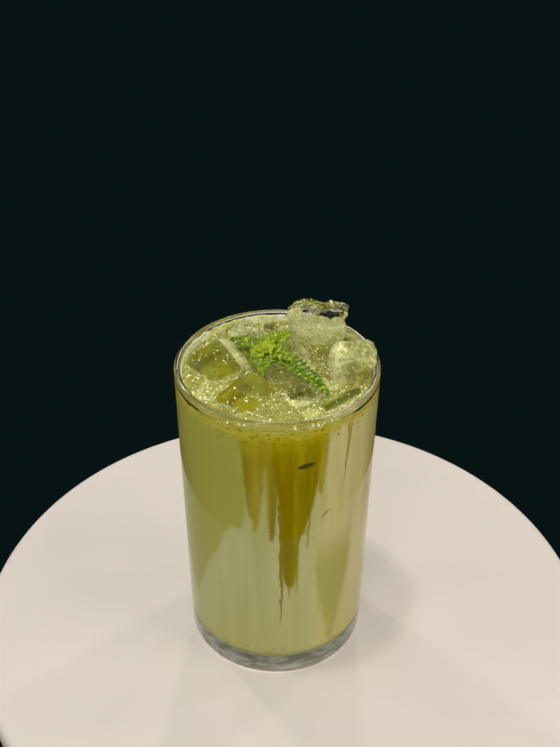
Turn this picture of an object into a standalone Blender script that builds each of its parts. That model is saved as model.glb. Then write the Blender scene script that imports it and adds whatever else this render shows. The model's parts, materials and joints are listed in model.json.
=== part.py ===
"""Iced matcha latte in a tall straight glass, with floating ice and a sprig of mint.

Metres, +Z up. The origin is the middle of the glass's underside, +Y is the back of the glass.
"""
import math
from collections import namedtuple

import bmesh
import bpy
from mathutils import Euler, Vector, noise
from mathutils.bvhtree import BVHTree

MM = 0.001

# The glass: a straight tumbler that widens a little towards the rim.
GLASS_HEIGHT = 127.8 * MM
RIM_RADIUS = 37.5 * MM
BASE_RADIUS = 35.2 * MM
WALL = 2.3 * MM
GLASS_FLOOR = 7.2 * MM
BASE_EDGE = 3.0 * MM
INNER_CORNER = 5.0 * MM
ROUND_STEPS = 48
LIP_STEPS = 6
CORNER_STEPS = 4

# The drink: filled to LEVEL, with a low meniscus and a skin of froth that is never quite flat.
LEVEL = GLASS_HEIGHT - 4.9 * MM
GAP = 0.3 * MM
MENISCUS_RISE = 0.35 * MM
MENISCUS_WIDTH = 1.6 * MM
FROTH_RINGS = 8
FROTH_RELIEF = 0.25 * MM
FROTH_WAVE = 7.0 * MM
FINE_FROTH = 2.3
FINE_FROTH_SHARE = 0.5

# The ice: half-melted cubes. x and y are each piece's middle, top is its height above LEVEL,
# turn is its heading and tip_x, tip_y tip it about its own sides, all in degrees.
# Squareness is the power of the rounded box: 2 is a ball, and 8 is nearly a sharp cube.
# ICE_TO_WALL leaves a film of drink between ice and glass; above the rim a piece may lean out
# over the lip by OVER_THE_LIP for each unit of height. MELT is the depth of the melted waves
# as a share of the piece's half width, and each seed moves its waves by one SEED_STEP.
ICE_CUTS = 4
ICE_TO_WALL = 1.3 * MM
OVER_THE_LIP = 1.3
MELT = 0.07
MELT_WAVE = 0.9
SEED_STEP = Vector((7.3, 3.1, 5.7))
Ice = namedtuple("Ice", "name x y top wide long tall turn tip_x tip_y squareness seed")
ICE_PIECES = [
    Ice("ice_back_right", 14.8, 23.6, 17.3, 20.6, 9.8, 29.0, 4, 4, 9, 4.6, 1),
    Ice("ice_left", -21.4, 7.6, 2.6, 22.0, 22.0, 19.0, 40, 0, -6, 6.0, 2),
    Ice("ice_front_left", -10.2, -12.4, 2.0, 24.0, 18.2, 18.0, 57, 2, 2, 5.0, 3),
    Ice("ice_front_right", 8.8, -14.6, 2.0, 11.6, 11.4, 16.0, 28, 2, -4, 4.5, 4),
    Ice("ice_centre", 7.6, 12.2, 4.4, 10.8, 9.6, 17.0, 16, 12, -8, 2.8, 5),
    Ice("ice_right", 27.8, 4.4, 8.6, 18.4, 19.0, 25.0, 10, 12, 4, 5.0, 6),
    Ice("ice_right_front", 23.2, -15.9, 1.5, 22.0, 5.8, 13.0, 41, -3, 4, 3.6, 7),
    Ice("ice_back_left", -13.2, 25.2, 2.8, 11.0, 9.2, 14.0, -14, -8, 4, 5.0, 8),
    Ice("ice_back_centre", -2.4, 29.6, 2.0, 8.2, 7.4, 13.0, 8, 5, 3, 4.0, 9),
]
# Each hollow is a dent melted into the top of a piece: where, how wide and how deep.
# It fades out below HOLLOW_REACH of the piece's half height.
HOLLOW_REACH = 0.5
Hollow = namedtuple("Hollow", "piece x y radius depth")
HOLLOWS = [
    Hollow("ice_front_left", -3.6, -2.2, 4.6, 1.3),
    Hollow("ice_front_right", 2.0, -1.0, 3.4, 0.7),
    Hollow("ice_back_right", 1.0, 0.5, 5.5, 2.2),
    Hollow("ice_right", -3.0, 1.0, 5.0, 1.4),
]

# The mint: leaves spread from a short stem, and lie on whatever ice is under them.
# Each leaf runs from the heart of the sprig to its end point, whose end_up is a height above
# LEVEL. Arch lifts its middle, fold lifts its sides into a trough, and roll turns it in degrees.
MINT_HEART = Vector((-4.6, 3.4, 6.0)) * MM
STEM_RADIUS = 0.9 * MM
STEM_FOOT_RADIUS = 0.7 * MM
STEM_LENGTH = 9.0 * MM
STEM_SIDES = 10
STEM_TURN = Euler((0.0, math.radians(82), math.radians(16)))
STEM_SHIFT = Vector((-2.25, -0.45, 0.9)) * MM
LEAF_THICKNESS = 0.6 * MM
LEAF_CLEARANCE = 0.75 * MM
LEAF_STEP = 2.1 * MM
LEAF_COLUMNS = 4
TOOTH_DEPTH = 0.16
STALK_WIDTH = 0.06
EDGE_WAVE = 0.35 * MM
EDGE_WAVES = 17.0
Leaf = namedtuple("Leaf", "end_x end_y end_up width arch fold roll seed")
LEAVES = [
    Leaf(17.6, -15.4, 2.8, 10.6, 2.2, 0.22, -8, 1),
    Leaf(8.6, -3.6, 6.0, 7.4, 1.8, 0.30, 14, 2),
    Leaf(-17.6, 15.2, 5.0, 8.8, 1.6, 0.28, 6, 3),
    Leaf(-17.0, 8.0, 4.6, 6.6, 1.2, 0.30, -10, 4),
    Leaf(5.4, 16.6, 7.0, 6.6, 1.6, 0.34, 8, 5),
    Leaf(-0.6, 13.6, 8.6, 5.2, 1.4, 0.36, -6, 6),
    Leaf(-5.6, -7.6, 4.0, 8.0, 1.8, 0.26, 4, 7),
    Leaf(-9.8, -1.8, 6.6, 5.4, 1.4, 0.34, -12, 8),
]


def clear_scene():
    for thing in list(bpy.data.objects):
        bpy.data.objects.remove(thing, do_unlink=True)


def make_material(name, colour, roughness, alpha=1.0):
    material = bpy.data.materials.new(name)
    material.use_nodes = True
    shader = material.node_tree.nodes["Principled BSDF"]
    shader.inputs["Base Color"].default_value = (*colour, 1.0)
    shader.inputs["Roughness"].default_value = roughness
    shader.inputs["Metallic"].default_value = 0.0
    shader.inputs["Alpha"].default_value = alpha
    return material


def make_object(name, bm, material):
    """Turn a bmesh into a smooth-shaded object at the origin."""
    bmesh.ops.recalc_face_normals(bm, faces=bm.faces[:])
    mesh = bpy.data.meshes.new(name)
    bm.to_mesh(mesh)
    bm.free()
    mesh.materials.append(material)
    mesh.shade_smooth()
    mesh.set_sharp_from_angle(angle=math.radians(40))
    thing = bpy.data.objects.new(name, mesh)
    bpy.context.scene.collection.objects.link(thing)
    return thing


def outer_radius(z):
    return BASE_RADIUS + (RIM_RADIUS - BASE_RADIUS) * z / GLASS_HEIGHT


def inner_radius(z):
    return outer_radius(z) - WALL


def arc(centre_r, centre_z, radius, start, end, steps):
    """Points (r, z) on an arc, from the start angle to the end angle in degrees."""
    points = []
    for step in range(steps + 1):
        angle = math.radians(start + (end - start) * step / steps)
        points.append((centre_r + radius * math.cos(angle), centre_z + radius * math.sin(angle)))
    return points


def turned(profile):
    """Spin a profile of (r, z) points round the glass's axis into a closed body."""
    bm = bmesh.new()
    verts = [bm.verts.new((r, 0.0, z)) for r, z in profile]
    edges = [bm.edges.new(pair) for pair in zip(verts, verts[1:])]
    bmesh.ops.spin(
        bm, geom=verts + edges, cent=(0, 0, 0), axis=(0, 0, 1),
        angle=math.tau, steps=ROUND_STEPS, use_merge=True,
    )
    bmesh.ops.remove_doubles(bm, verts=bm.verts[:], dist=0.01 * MM)
    return bm


def inner_corner(inset):
    """The rounded foot of the inside wall, moved in from the glass by inset."""
    radius = INNER_CORNER - inset
    centre_z = GLASS_FLOOR + INNER_CORNER
    centre_r = inner_radius(centre_z) - INNER_CORNER
    return arc(centre_r, centre_z, radius, 0, -90, CORNER_STEPS)


def make_glass(material):
    lip = WALL / 2
    lip_z = GLASS_HEIGHT - lip
    profile = [(0.0, 0.0)]
    profile += arc(BASE_RADIUS - BASE_EDGE, BASE_EDGE, BASE_EDGE, -90, 0, CORNER_STEPS)
    profile += arc(outer_radius(lip_z) - lip, lip_z, lip, 0, 180, LIP_STEPS)
    profile += inner_corner(0.0)
    profile.append((0.0, GLASS_FLOOR))
    return make_object("glass", turned(profile), material)


def rounded_box(squareness):
    """A cube of side 2 whose corners are drawn in to a rounded box."""
    bm = bmesh.new()
    bmesh.ops.create_cube(bm, size=2.0)
    bmesh.ops.subdivide_edges(bm, edges=bm.edges[:], cuts=ICE_CUTS, use_grid_fill=True)
    bmesh.ops.triangulate(bm, faces=bm.faces[:], quad_method="FIXED")
    for vert in bm.verts:
        total = sum(abs(part) ** squareness for part in vert.co)
        vert.co /= total ** (1.0 / squareness)
    return bm


def kept_inside_wall(point):
    """Draw a point in to the inside of the glass; above the rim it may lean over the lip."""
    limit = inner_radius(min(point.z, GLASS_HEIGHT)) - ICE_TO_WALL
    limit += max(0.0, min(point.z - GLASS_HEIGHT, WALL)) * OVER_THE_LIP
    radius = math.hypot(point.x, point.y)
    if radius > limit:
        point.x *= limit / radius
        point.y *= limit / radius
    return point


def ice_form(ice, swell=0.0):
    """One piece of ice as a bmesh; swell moves its whole skin out by that distance."""
    bm = rounded_box(ice.squareness)
    half = Vector((ice.wide, ice.long, ice.tall)) * (MM / 2)
    turns = Euler((math.radians(ice.tip_x), math.radians(ice.tip_y), math.radians(ice.turn)))
    middle = Vector((ice.x * MM, ice.y * MM, LEVEL + ice.top * MM - half.z))
    for vert in bm.verts:
        melt = 1.0 + MELT * noise.noise(vert.co / MELT_WAVE + SEED_STEP * ice.seed)
        point = Vector(a * b for a, b in zip(vert.co * melt, half))
        for hollow in HOLLOWS:
            if hollow.piece == ice.name and point.z > 0.0:
                away = math.hypot(point.x - hollow.x * MM, point.y - hollow.y * MM)
                depth = hollow.depth * MM * math.exp(-((away / (hollow.radius * MM)) ** 2))
                point.z -= depth * min(1.0, point.z / (half.z * HOLLOW_REACH))
        point.rotate(turns)
        vert.co = kept_inside_wall(point + middle)
    bmesh.ops.recalc_face_normals(bm, faces=bm.faces[:])
    if swell:
        bm.normal_update()
        moved = [(vert, vert.co + vert.normal * swell * vert.calc_shell_factor()) for vert in bm.verts]
        for vert, place in moved:
            vert.co = place
    return bm


def froth_height(x, y):
    """How far the froth's skin stands above or below LEVEL at a place."""
    place = Vector((x, y, 0.0)) / FROTH_WAVE
    height = FROTH_RELIEF * (noise.noise(place) + FINE_FROTH_SHARE * noise.noise(place * FINE_FROTH))
    to_wall = inner_radius(LEVEL) - math.hypot(x, y)
    return height + MENISCUS_RISE * math.exp(-to_wall / MENISCUS_WIDTH)


def largest_body(thing):
    """Drop the scraps that a cut leaves loose, and keep the one large body."""
    bm = bmesh.new()
    bm.from_mesh(thing.data)
    unseen = set(bm.verts)
    bodies = []
    while unseen:
        body = {unseen.pop()}
        front = list(body)
        while front:
            for edge in front.pop().link_edges:
                for vert in edge.verts:
                    if vert in unseen:
                        unseen.discard(vert)
                        body.add(vert)
                        front.append(vert)
        bodies.append(body)
    bodies.sort(key=len)
    scraps = [vert for body in bodies[:-1] for vert in body]
    bmesh.ops.delete(bm, geom=scraps, context="VERTS")
    bm.to_mesh(thing.data)
    bm.free()


def apply_boolean(thing, collection, operation):
    """Join or cut an object with every object of a collection, then remove those objects."""
    change = thing.modifiers.new("Join" if operation == "UNION" else "Cut", "BOOLEAN")
    change.operation = operation
    change.operand_type = "COLLECTION"
    change.collection = collection
    change.solver = "EXACT"
    depsgraph = bpy.context.evaluated_depsgraph_get()
    result = bpy.data.meshes.new_from_object(thing.evaluated_get(depsgraph))
    thing.modifiers.clear()
    thing.data = result
    for other in list(collection.objects):
        bpy.data.objects.remove(other, do_unlink=True)
    bpy.data.collections.remove(collection)


def new_collection(name):
    collection = bpy.data.collections.new(name)
    bpy.context.scene.collection.children.link(collection)
    return collection


def move_to(thing, collection):
    bpy.context.scene.collection.objects.unlink(thing)
    collection.objects.link(thing)


def make_drink(material):
    """The drink fills the glass to LEVEL, a gap inside the wall, and is cut round the ice."""
    wall_r = inner_radius(LEVEL) - GAP
    corner = inner_corner(GAP)
    profile = [(wall_r * ring / FROTH_RINGS, LEVEL) for ring in range(FROTH_RINGS)]
    profile += [(wall_r, LEVEL)] + corner + [(0.0, corner[-1][1])]
    bm = turned(profile)
    for vert in bm.verts:
        if abs(vert.co.z - LEVEL) < GAP / 10:
            vert.co.z += froth_height(vert.co.x, vert.co.y)
    drink = make_object("drink", bm, material)
    cutters = new_collection("ice_cutters")
    for ice in ICE_PIECES:
        cutter = make_object("cut_" + ice.name, ice_form(ice, swell=GAP), material)
        cutter.hide_render = True
        cutter.display_type = "WIRE"
        move_to(cutter, cutters)
    apply_boolean(drink, cutters, "DIFFERENCE")
    largest_body(drink)
    return drink


def make_ice(material):
    return [make_object(ice.name, ice_form(ice), material) for ice in ICE_PIECES]


def what_lies_under(things):
    """A function that gives the height of the highest of these things at a place."""
    trees = []
    for thing in things:
        corners = [vert.co.copy() for vert in thing.data.vertices]
        faces = [list(face.vertices) for face in thing.data.polygons]
        trees.append(BVHTree.FromPolygons(corners, faces))

    def height(x, y):
        start = Vector((x, y, GLASS_HEIGHT * 2))
        hits = [tree.ray_cast(start, Vector((0, 0, -1)))[0] for tree in trees]
        return max([hit.z for hit in hits if hit is not None], default=LEVEL)

    return height


def leaf_half_width(along):
    """The outline of a mint leaf: narrow at its stalk, widest near the middle, then a point."""
    return math.sin(math.pi * along ** 0.8) ** 0.75


def make_leaf(leaf, under, material):
    """One toothed leaf, arched along its midrib and folded up at its sides."""
    base = MINT_HEART + Vector((0, 0, LEVEL))
    end = Vector((leaf.end_x * MM, leaf.end_y * MM, LEVEL + leaf.end_up * MM))
    run = end - base
    side = Vector((-run.y, run.x, 0.0)).normalized()
    side.z = math.sin(math.radians(leaf.roll))
    steps = 2 * round(run.length / LEAF_STEP / 2)
    bm = bmesh.new()
    bmesh.ops.create_grid(bm, x_segments=steps, y_segments=LEAF_COLUMNS, size=1.0)
    bmesh.ops.triangulate(bm, faces=bm.faces[:], quad_method="FIXED")
    for vert in bm.verts:
        along = (vert.co.x + 1) / 2
        across = vert.co.y
        half = leaf.width * MM / 2 * max(STALK_WIDTH, leaf_half_width(along))
        if abs(across) > 0.99:
            half *= 1.0 + TOOTH_DEPTH * (-1) ** round(along * steps)
        wave = EDGE_WAVE * math.sin(along * EDGE_WAVES + leaf.seed) * abs(across)
        up = leaf.arch * MM * math.sin(math.pi * along) + leaf.fold * half * abs(across) + wave
        point = base + run * along + side * (half * across)
        point.z += up
        lowest = under(point.x, point.y) + LEAF_CLEARANCE
        point.z = max(point.z, lowest)
        vert.co = point
    top = bmesh.ops.extrude_face_region(bm, geom=bm.faces[:])
    lifted = [item for item in top["geom"] if isinstance(item, bmesh.types.BMVert)]
    bmesh.ops.translate(bm, verts=lifted, vec=(0, 0, LEAF_THICKNESS))
    return make_object("leaf_" + str(leaf.seed), bm, material)


def make_mint(things_under, material):
    """The stem's short end, with every leaf joined to it."""
    under = what_lies_under(things_under)
    heart = MINT_HEART + Vector((0, 0, LEVEL))
    bm = bmesh.new()
    bmesh.ops.create_cone(
        bm, cap_ends=True, segments=STEM_SIDES, radius1=STEM_FOOT_RADIUS, radius2=STEM_RADIUS,
        depth=STEM_LENGTH,
    )
    bmesh.ops.rotate(bm, verts=bm.verts[:], matrix=STEM_TURN.to_matrix())
    bmesh.ops.translate(bm, verts=bm.verts[:], vec=heart + STEM_SHIFT)
    sprig = make_object("mint_sprig", bm, material)
    leaves = new_collection("mint_leaves")
    for leaf in LEAVES:
        move_to(make_leaf(leaf, under, material), leaves)
    apply_boolean(sprig, leaves, "UNION")
    largest_body(sprig)
    return sprig


def main():
    clear_scene()
    clear_glass = make_material("clear_glass", (0.93, 0.95, 0.94), 0.02, alpha=0.3)
    matcha_milk = make_material("matcha_milk", (0.42, 0.40, 0.16), 0.35)
    wet_ice = make_material("wet_ice", (0.72, 0.76, 0.52), 0.08, alpha=0.6)
    mint_green = make_material("mint_green", (0.08, 0.26, 0.03), 0.5)
    make_glass(clear_glass)
    drink = make_drink(matcha_milk)
    ice = make_ice(wet_ice)
    make_mint([drink] + ice, mint_green)


main()
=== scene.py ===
# %% [markdown]
# # Iced matcha latte
# A tall straight glass of milk with matcha poured through it, seen from a little above.
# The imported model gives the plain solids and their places. This lesson dresses each of them:
# a clear glass, a drink with olive runs down its side, a skin of froth and bubbles, nine
# half-melted pieces of ice and a sprig of mint.

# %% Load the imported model
import json
import math
import random
from collections import namedtuple

import bmesh
import bpy
import numpy as np
from mathutils import Euler, Matrix, Vector, noise
from mathutils.bvhtree import BVHTree

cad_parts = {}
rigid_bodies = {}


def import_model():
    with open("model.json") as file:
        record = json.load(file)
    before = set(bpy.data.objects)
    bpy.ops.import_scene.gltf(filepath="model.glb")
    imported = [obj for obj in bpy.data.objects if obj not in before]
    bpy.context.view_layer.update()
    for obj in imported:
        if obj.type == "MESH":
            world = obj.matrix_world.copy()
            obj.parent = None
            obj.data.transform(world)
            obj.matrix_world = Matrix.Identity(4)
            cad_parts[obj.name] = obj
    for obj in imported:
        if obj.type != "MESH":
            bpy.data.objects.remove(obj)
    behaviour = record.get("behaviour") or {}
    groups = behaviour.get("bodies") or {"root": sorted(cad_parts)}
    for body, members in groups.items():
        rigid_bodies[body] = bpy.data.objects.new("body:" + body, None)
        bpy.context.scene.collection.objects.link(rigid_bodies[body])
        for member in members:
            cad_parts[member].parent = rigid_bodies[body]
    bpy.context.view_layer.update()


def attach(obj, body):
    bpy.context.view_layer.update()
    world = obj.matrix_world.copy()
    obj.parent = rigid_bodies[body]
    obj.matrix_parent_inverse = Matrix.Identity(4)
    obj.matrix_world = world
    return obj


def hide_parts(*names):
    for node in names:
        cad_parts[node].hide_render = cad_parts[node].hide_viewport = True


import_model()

# %% [markdown]
# The sizes below are the ones that the glass was designed with: a tumbler that widens a little
# towards its rim, and a drink that stops just under the rim. Everything else in the lesson is
# worked out from them, so the pieces fit without any pushing about.

# %% The sizes that everything follows
MM = 0.001
GLASS_HEIGHT = 127.8 * MM
RIM_RADIUS = 37.5 * MM
BASE_RADIUS = 35.2 * MM
WALL = 2.3 * MM
GLASS_FLOOR = 7.2 * MM
BASE_EDGE = 3.0 * MM
INNER_CORNER = 5.0 * MM
LEVEL = GLASS_HEIGHT - 4.9 * MM
ROUND_STEPS = 192


def outer_radius(z):
    return BASE_RADIUS + (RIM_RADIUS - BASE_RADIUS) * z / GLASS_HEIGHT


def inner_radius(z):
    return outer_radius(z) - WALL


print("inside radius at the drink's level:", round(inner_radius(LEVEL) / MM, 2), "mm")

# %% [markdown]
# A glass, a drink and a bubble all begin as an outline that is turned round an axis. Blender's
# spin does that. The doubled points on the axis are merged first, and only then are the normals
# worked out, so that no face ends up pointing inwards.

# %% Turning an outline, and finishing a piece


def arc(centre_r, centre_z, radius, start, end, steps):
    """Points (r, z) on an arc, from the start angle to the end angle in degrees."""
    points = []
    for step in range(steps + 1):
        angle = math.radians(start + (end - start) * step / steps)
        points.append((centre_r + radius * math.cos(angle), centre_z + radius * math.sin(angle)))
    return points


def turned(profile):
    """Spin an outline of (r, z) points round the glass's axis into a closed body."""
    bm = bmesh.new()
    verts = [bm.verts.new((r, 0.0, z)) for r, z in profile]
    edges = [bm.edges.new(pair) for pair in zip(verts, verts[1:])]
    bmesh.ops.spin(
        bm, geom=verts + edges, cent=(0, 0, 0), axis=(0, 0, 1),
        angle=math.tau, steps=ROUND_STEPS, use_merge=True,
    )
    bmesh.ops.remove_doubles(bm, verts=bm.verts[:], dist=0.005 * MM)
    bmesh.ops.recalc_face_normals(bm, faces=bm.faces[:])
    return bm


def show(thing):
    """Put an object into the scene."""
    bpy.context.scene.collection.objects.link(thing)
    return thing


def make_object(name, bm, *materials, sharp_from=50):
    """Turn a bmesh into a smooth-shaded object at the origin."""
    mesh = bpy.data.meshes.new(name)
    bm.to_mesh(mesh)
    bm.free()
    for material in materials:
        mesh.materials.append(material)
    mesh.shade_smooth()
    mesh.set_sharp_from_angle(angle=math.radians(sharp_from))
    return show(bpy.data.objects.new(name, mesh))


def place_piece(thing, slot, *nodes):
    """Fix a finished piece to the glass's body, in place of the solids it stands for."""
    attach(thing, "root")
    if nodes:
        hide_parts(*nodes)
    thing.data.calc_loop_triangles()
    print(thing.name, "has", len(thing.data.loop_triangles), "triangles")


# %% [markdown]
# Materials are node trees. Small helpers keep them readable: add_node adds a node and feeds its
# sockets; plus, minus, times and larger do arithmetic; mix_colour mixes two colours; and fade lets
# a value come in between two limits.

# %% Helpers for node trees


def feed(tree, socket, value):
    """Link a socket to another socket, or set its value."""
    if isinstance(value, bpy.types.NodeSocket):
        tree.links.new(value, socket)
    elif socket.type == "RGBA" and len(value) == 3:
        socket.default_value = (*value, 1.0)
    else:
        socket.default_value = value


def add_node(tree, kind, settings=None, **sockets):
    """Add a shader node, set its options, and feed the sockets named."""
    node = tree.nodes.new("ShaderNode" + kind)
    for name, value in (settings or {}).items():
        setattr(node, name, value)
    for name, value in sockets.items():
        feed(tree, node.inputs[name.replace("_", " ")], value)
    return node


def maths(tree, operation, *values, clamp=False):
    node = tree.nodes.new("ShaderNodeMath")
    node.operation = operation
    node.use_clamp = clamp
    for index, value in enumerate(values):
        feed(tree, node.inputs[index], value)
    return node.outputs[0]


def plus(tree, *values):
    return maths(tree, "ADD", *values)


def minus(tree, *values, clamp=False):
    return maths(tree, "SUBTRACT", *values, clamp=clamp)


def times(tree, *values):
    return maths(tree, "MULTIPLY", *values)


def larger(tree, *values):
    return maths(tree, "MAXIMUM", *values)


def mix_colour(tree, factor, first, second):
    node = tree.nodes.new("ShaderNodeMix")
    node.data_type = "RGBA"
    feed(tree, node.inputs[0], factor)
    feed(tree, node.inputs[6], first)
    feed(tree, node.inputs[7], second)
    return node.outputs[2]


def fade(tree, value, low, high, start=0.0, end=1.0):
    """A smooth step from start to end as the value goes from low to high."""
    node = tree.nodes.new("ShaderNodeMapRange")
    node.interpolation_type = "SMOOTHSTEP"
    for index, item in enumerate((value, low, high, start, end)):
        feed(tree, node.inputs[index], item)
    return node.outputs[0]


def noise_field(tree, vector, size, detail=2.0, roughness=0.5):
    """Soft noise whose lumps are about size metres across, between 0 and 1."""
    node = add_node(
        tree, "TexNoise", Vector=vector, Scale=1.0 / size, Detail=detail, Roughness=roughness
    )
    return node.outputs[0]


def bumped(tree, height, distance, strength):
    """A normal that is tilted as if the surface rose and fell with height."""
    node = add_node(tree, "Bump", Strength=strength, Distance=distance, Height=height)
    return node.outputs[0]


def part_of(tree, place, axis):
    """The X, Y or Z of a place."""
    return add_node(tree, "SeparateXYZ", Vector=place).outputs[axis]


# %% [markdown]
# A node group is a small tree of its own with named inputs and outputs, so several materials can
# share one effect. Shaders stay in the material itself, where an export can read them, and dress
# feeds the sockets of its Principled shader by name.

# %% Helpers for groups and materials


def new_group(name, inputs, outputs):
    """An empty shader node group with named sockets."""
    group = bpy.data.node_groups.new(name, "ShaderNodeTree")
    for label, kind in inputs:
        group.interface.new_socket(label, in_out="INPUT", socket_type="NodeSocket" + kind)
    for label, kind in outputs:
        group.interface.new_socket(label, in_out="OUTPUT", socket_type="NodeSocket" + kind)
    given = group.nodes.new("NodeGroupInput").outputs
    return group, given, group.nodes.new("NodeGroupOutput").inputs


def use_group(tree, group, **sockets):
    """Place a node group in a tree, with its own values."""
    return add_node(tree, "Group", {"node_tree": group}, **sockets).outputs


def new_material(name):
    """A material with its node tree, its Principled shader and its Object coordinates."""
    material = bpy.data.materials.new(name)
    material.use_nodes = True
    tree = material.node_tree
    place = tree.nodes.new("ShaderNodeTexCoord").outputs["Object"]
    return material, tree, tree.nodes["Principled BSDF"], place


def dress(tree, shader, **sockets):
    """Feed the sockets of a material's Principled shader by name."""
    for name, value in sockets.items():
        feed(tree, shader.inputs[name.replace("_", " ")], value)


def mix_into_surface(tree, factor, first, second):
    """Show one shader where the factor is 0 and the other where it is 1."""
    mix = tree.nodes.new("ShaderNodeMixShader")
    for index, value in enumerate((factor, first.outputs[0], second.outputs[0])):
        feed(tree, mix.inputs[index], value)
    feed(tree, tree.nodes["Material Output"].inputs["Surface"], mix.outputs[0])


def let_lamps_through(tree, shader, tint):
    """Let lamp light pass straight through a clear material, so what is behind it is lit."""
    shadow_ray = tree.nodes.new("ShaderNodeLightPath").outputs["Is Shadow Ray"]
    mix_into_surface(tree, shadow_ray, shader, add_node(tree, "BsdfTransparent", Color=tint))


# %% [markdown]
# ## The glass
# The tumbler is one outline: up the outside, over a round lip, down the inside and across the
# thick floor. The real one is pressed, so its underside has a shallow hollow that leaves a ring
# to stand on, and that hollow is what makes the glints low down in the base.

# %% The glass's shape
LIP_STEPS = 10
CORNER_STEPS = 8
PUNT_DEPTH = 0.7 * MM
PUNT_RADIUS = 29.0 * MM
PUNT_EDGE = 2.5 * MM


def inner_corner(inset):
    """The rounded foot of the inside wall, moved in from the glass by inset."""
    centre_z = GLASS_FLOOR + INNER_CORNER
    centre_r = inner_radius(centre_z) - INNER_CORNER
    return arc(centre_r, centre_z, INNER_CORNER - inset, 0, -90, CORNER_STEPS)


def glass_outline():
    lip = WALL / 2
    lip_z = GLASS_HEIGHT - lip
    points = [(0.0, PUNT_DEPTH), (PUNT_RADIUS - PUNT_EDGE, PUNT_DEPTH)]
    points += [(PUNT_RADIUS - PUNT_EDGE / 2, PUNT_DEPTH * 0.7), (PUNT_RADIUS, 0.0)]
    points += arc(BASE_RADIUS - BASE_EDGE, BASE_EDGE, BASE_EDGE, -90, 0, CORNER_STEPS)
    points += arc(outer_radius(lip_z) - lip, lip_z, lip, 0, 180, LIP_STEPS)
    points += inner_corner(0.0)
    points.append((0.0, GLASS_FLOOR))
    return points


# %% [markdown]
# Clear glass is full transmission with an index of 1.5. A path tracer finds it hard to bring lamp
# light through glass onto the milk behind it, so shadow rays are let straight through. The wall
# has the faintest waviness in its bump, and the pressed floor a strong one, which breaks up the
# light in the clear foot. The lip is a little frosted by use, so it holds a bright line all round.
# Where milk wets the inside of the wall the glass mirrors less, so its index falls between the
# floor and the level.

# %% The glass's material
GLASS_INDEX = 1.5
BACKED_INDEX = 1.20
GLASS_WAVE = 7 * MM
GLASS_SMEAR = 14 * MM
FLOOR_WAVINESS = 0.6
WALL_WAVINESS = 0.05
LIP_FROM = GLASS_HEIGHT - 3.0 * MM
LIP_FULL = GLASS_HEIGHT - 1.2 * MM
LIP_FROST = 0.17
GLASS_TINT = (0.985, 0.995, 0.985)
LIP_PAINTED_COOL_TINT = (0.97, 0.98, 1.0)
GLASS_SHADE = (0.97, 0.98, 0.97)


def glass_material():
    material, tree, shader, place = new_material("clear_glass")
    wave = noise_field(tree, place, GLASS_WAVE)
    height = part_of(tree, place, "Z")
    pressed = fade(
        tree, height, GLASS_FLOOR - 1 * MM, GLASS_FLOOR + 1 * MM, FLOOR_WAVINESS, WALL_WAVINESS
    )
    smeared = fade(tree, noise_field(tree, place, GLASS_SMEAR, detail=3.0), 0.35, 0.75, 0.0, 0.035)
    lip = fade(tree, height, LIP_FROM, LIP_FULL)
    dress(
        tree, shader,
        Roughness=plus(tree, smeared, times(tree, lip, LIP_FROST)),
        # a faint cool tint is painted into the lip, standing in for the whiter look of its
        # highlights
        Base_Color=mix_colour(tree, lip, GLASS_TINT, LIP_PAINTED_COOL_TINT),
        Normal=bumped(tree, wave, 0.3 * MM, pressed),
    )
    above = fade(tree, height, LEVEL - 1 * MM, LEVEL + 1 * MM)
    foot = fade(tree, height, GLASS_FLOOR, GLASS_FLOOR + 6 * MM, 1.0, 0.0)
    free = larger(tree, above, foot)
    shader.inputs["IOR"].default_value = GLASS_INDEX
    dress(
        tree, shader,
        IOR=fade(tree, free, 0.0, 1.0, BACKED_INDEX, GLASS_INDEX),
        Transmission_Weight=1.0,
    )
    let_lamps_through(tree, shader, GLASS_SHADE)
    return material


glass = make_object("tumbler", turned(glass_outline()), glass_material(), sharp_from=60)
place_piece(glass, "clear_glass", "glass")

# %% [markdown]
# ## The ice
# Each piece began as a cube from a tray, and has melted. A cube is cut into a fine grid, its
# corners are drawn in by a power rule, and smooth noise moves the skin in and out. The same
# numbers made the plain solids, so the fine pieces fill the places of the coarse ones.
# On top of that come ripples that a coarse solid can't hold, and three soft bulges that give the
# tall piece its shoulder, its overhanging crest and its neck.

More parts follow.
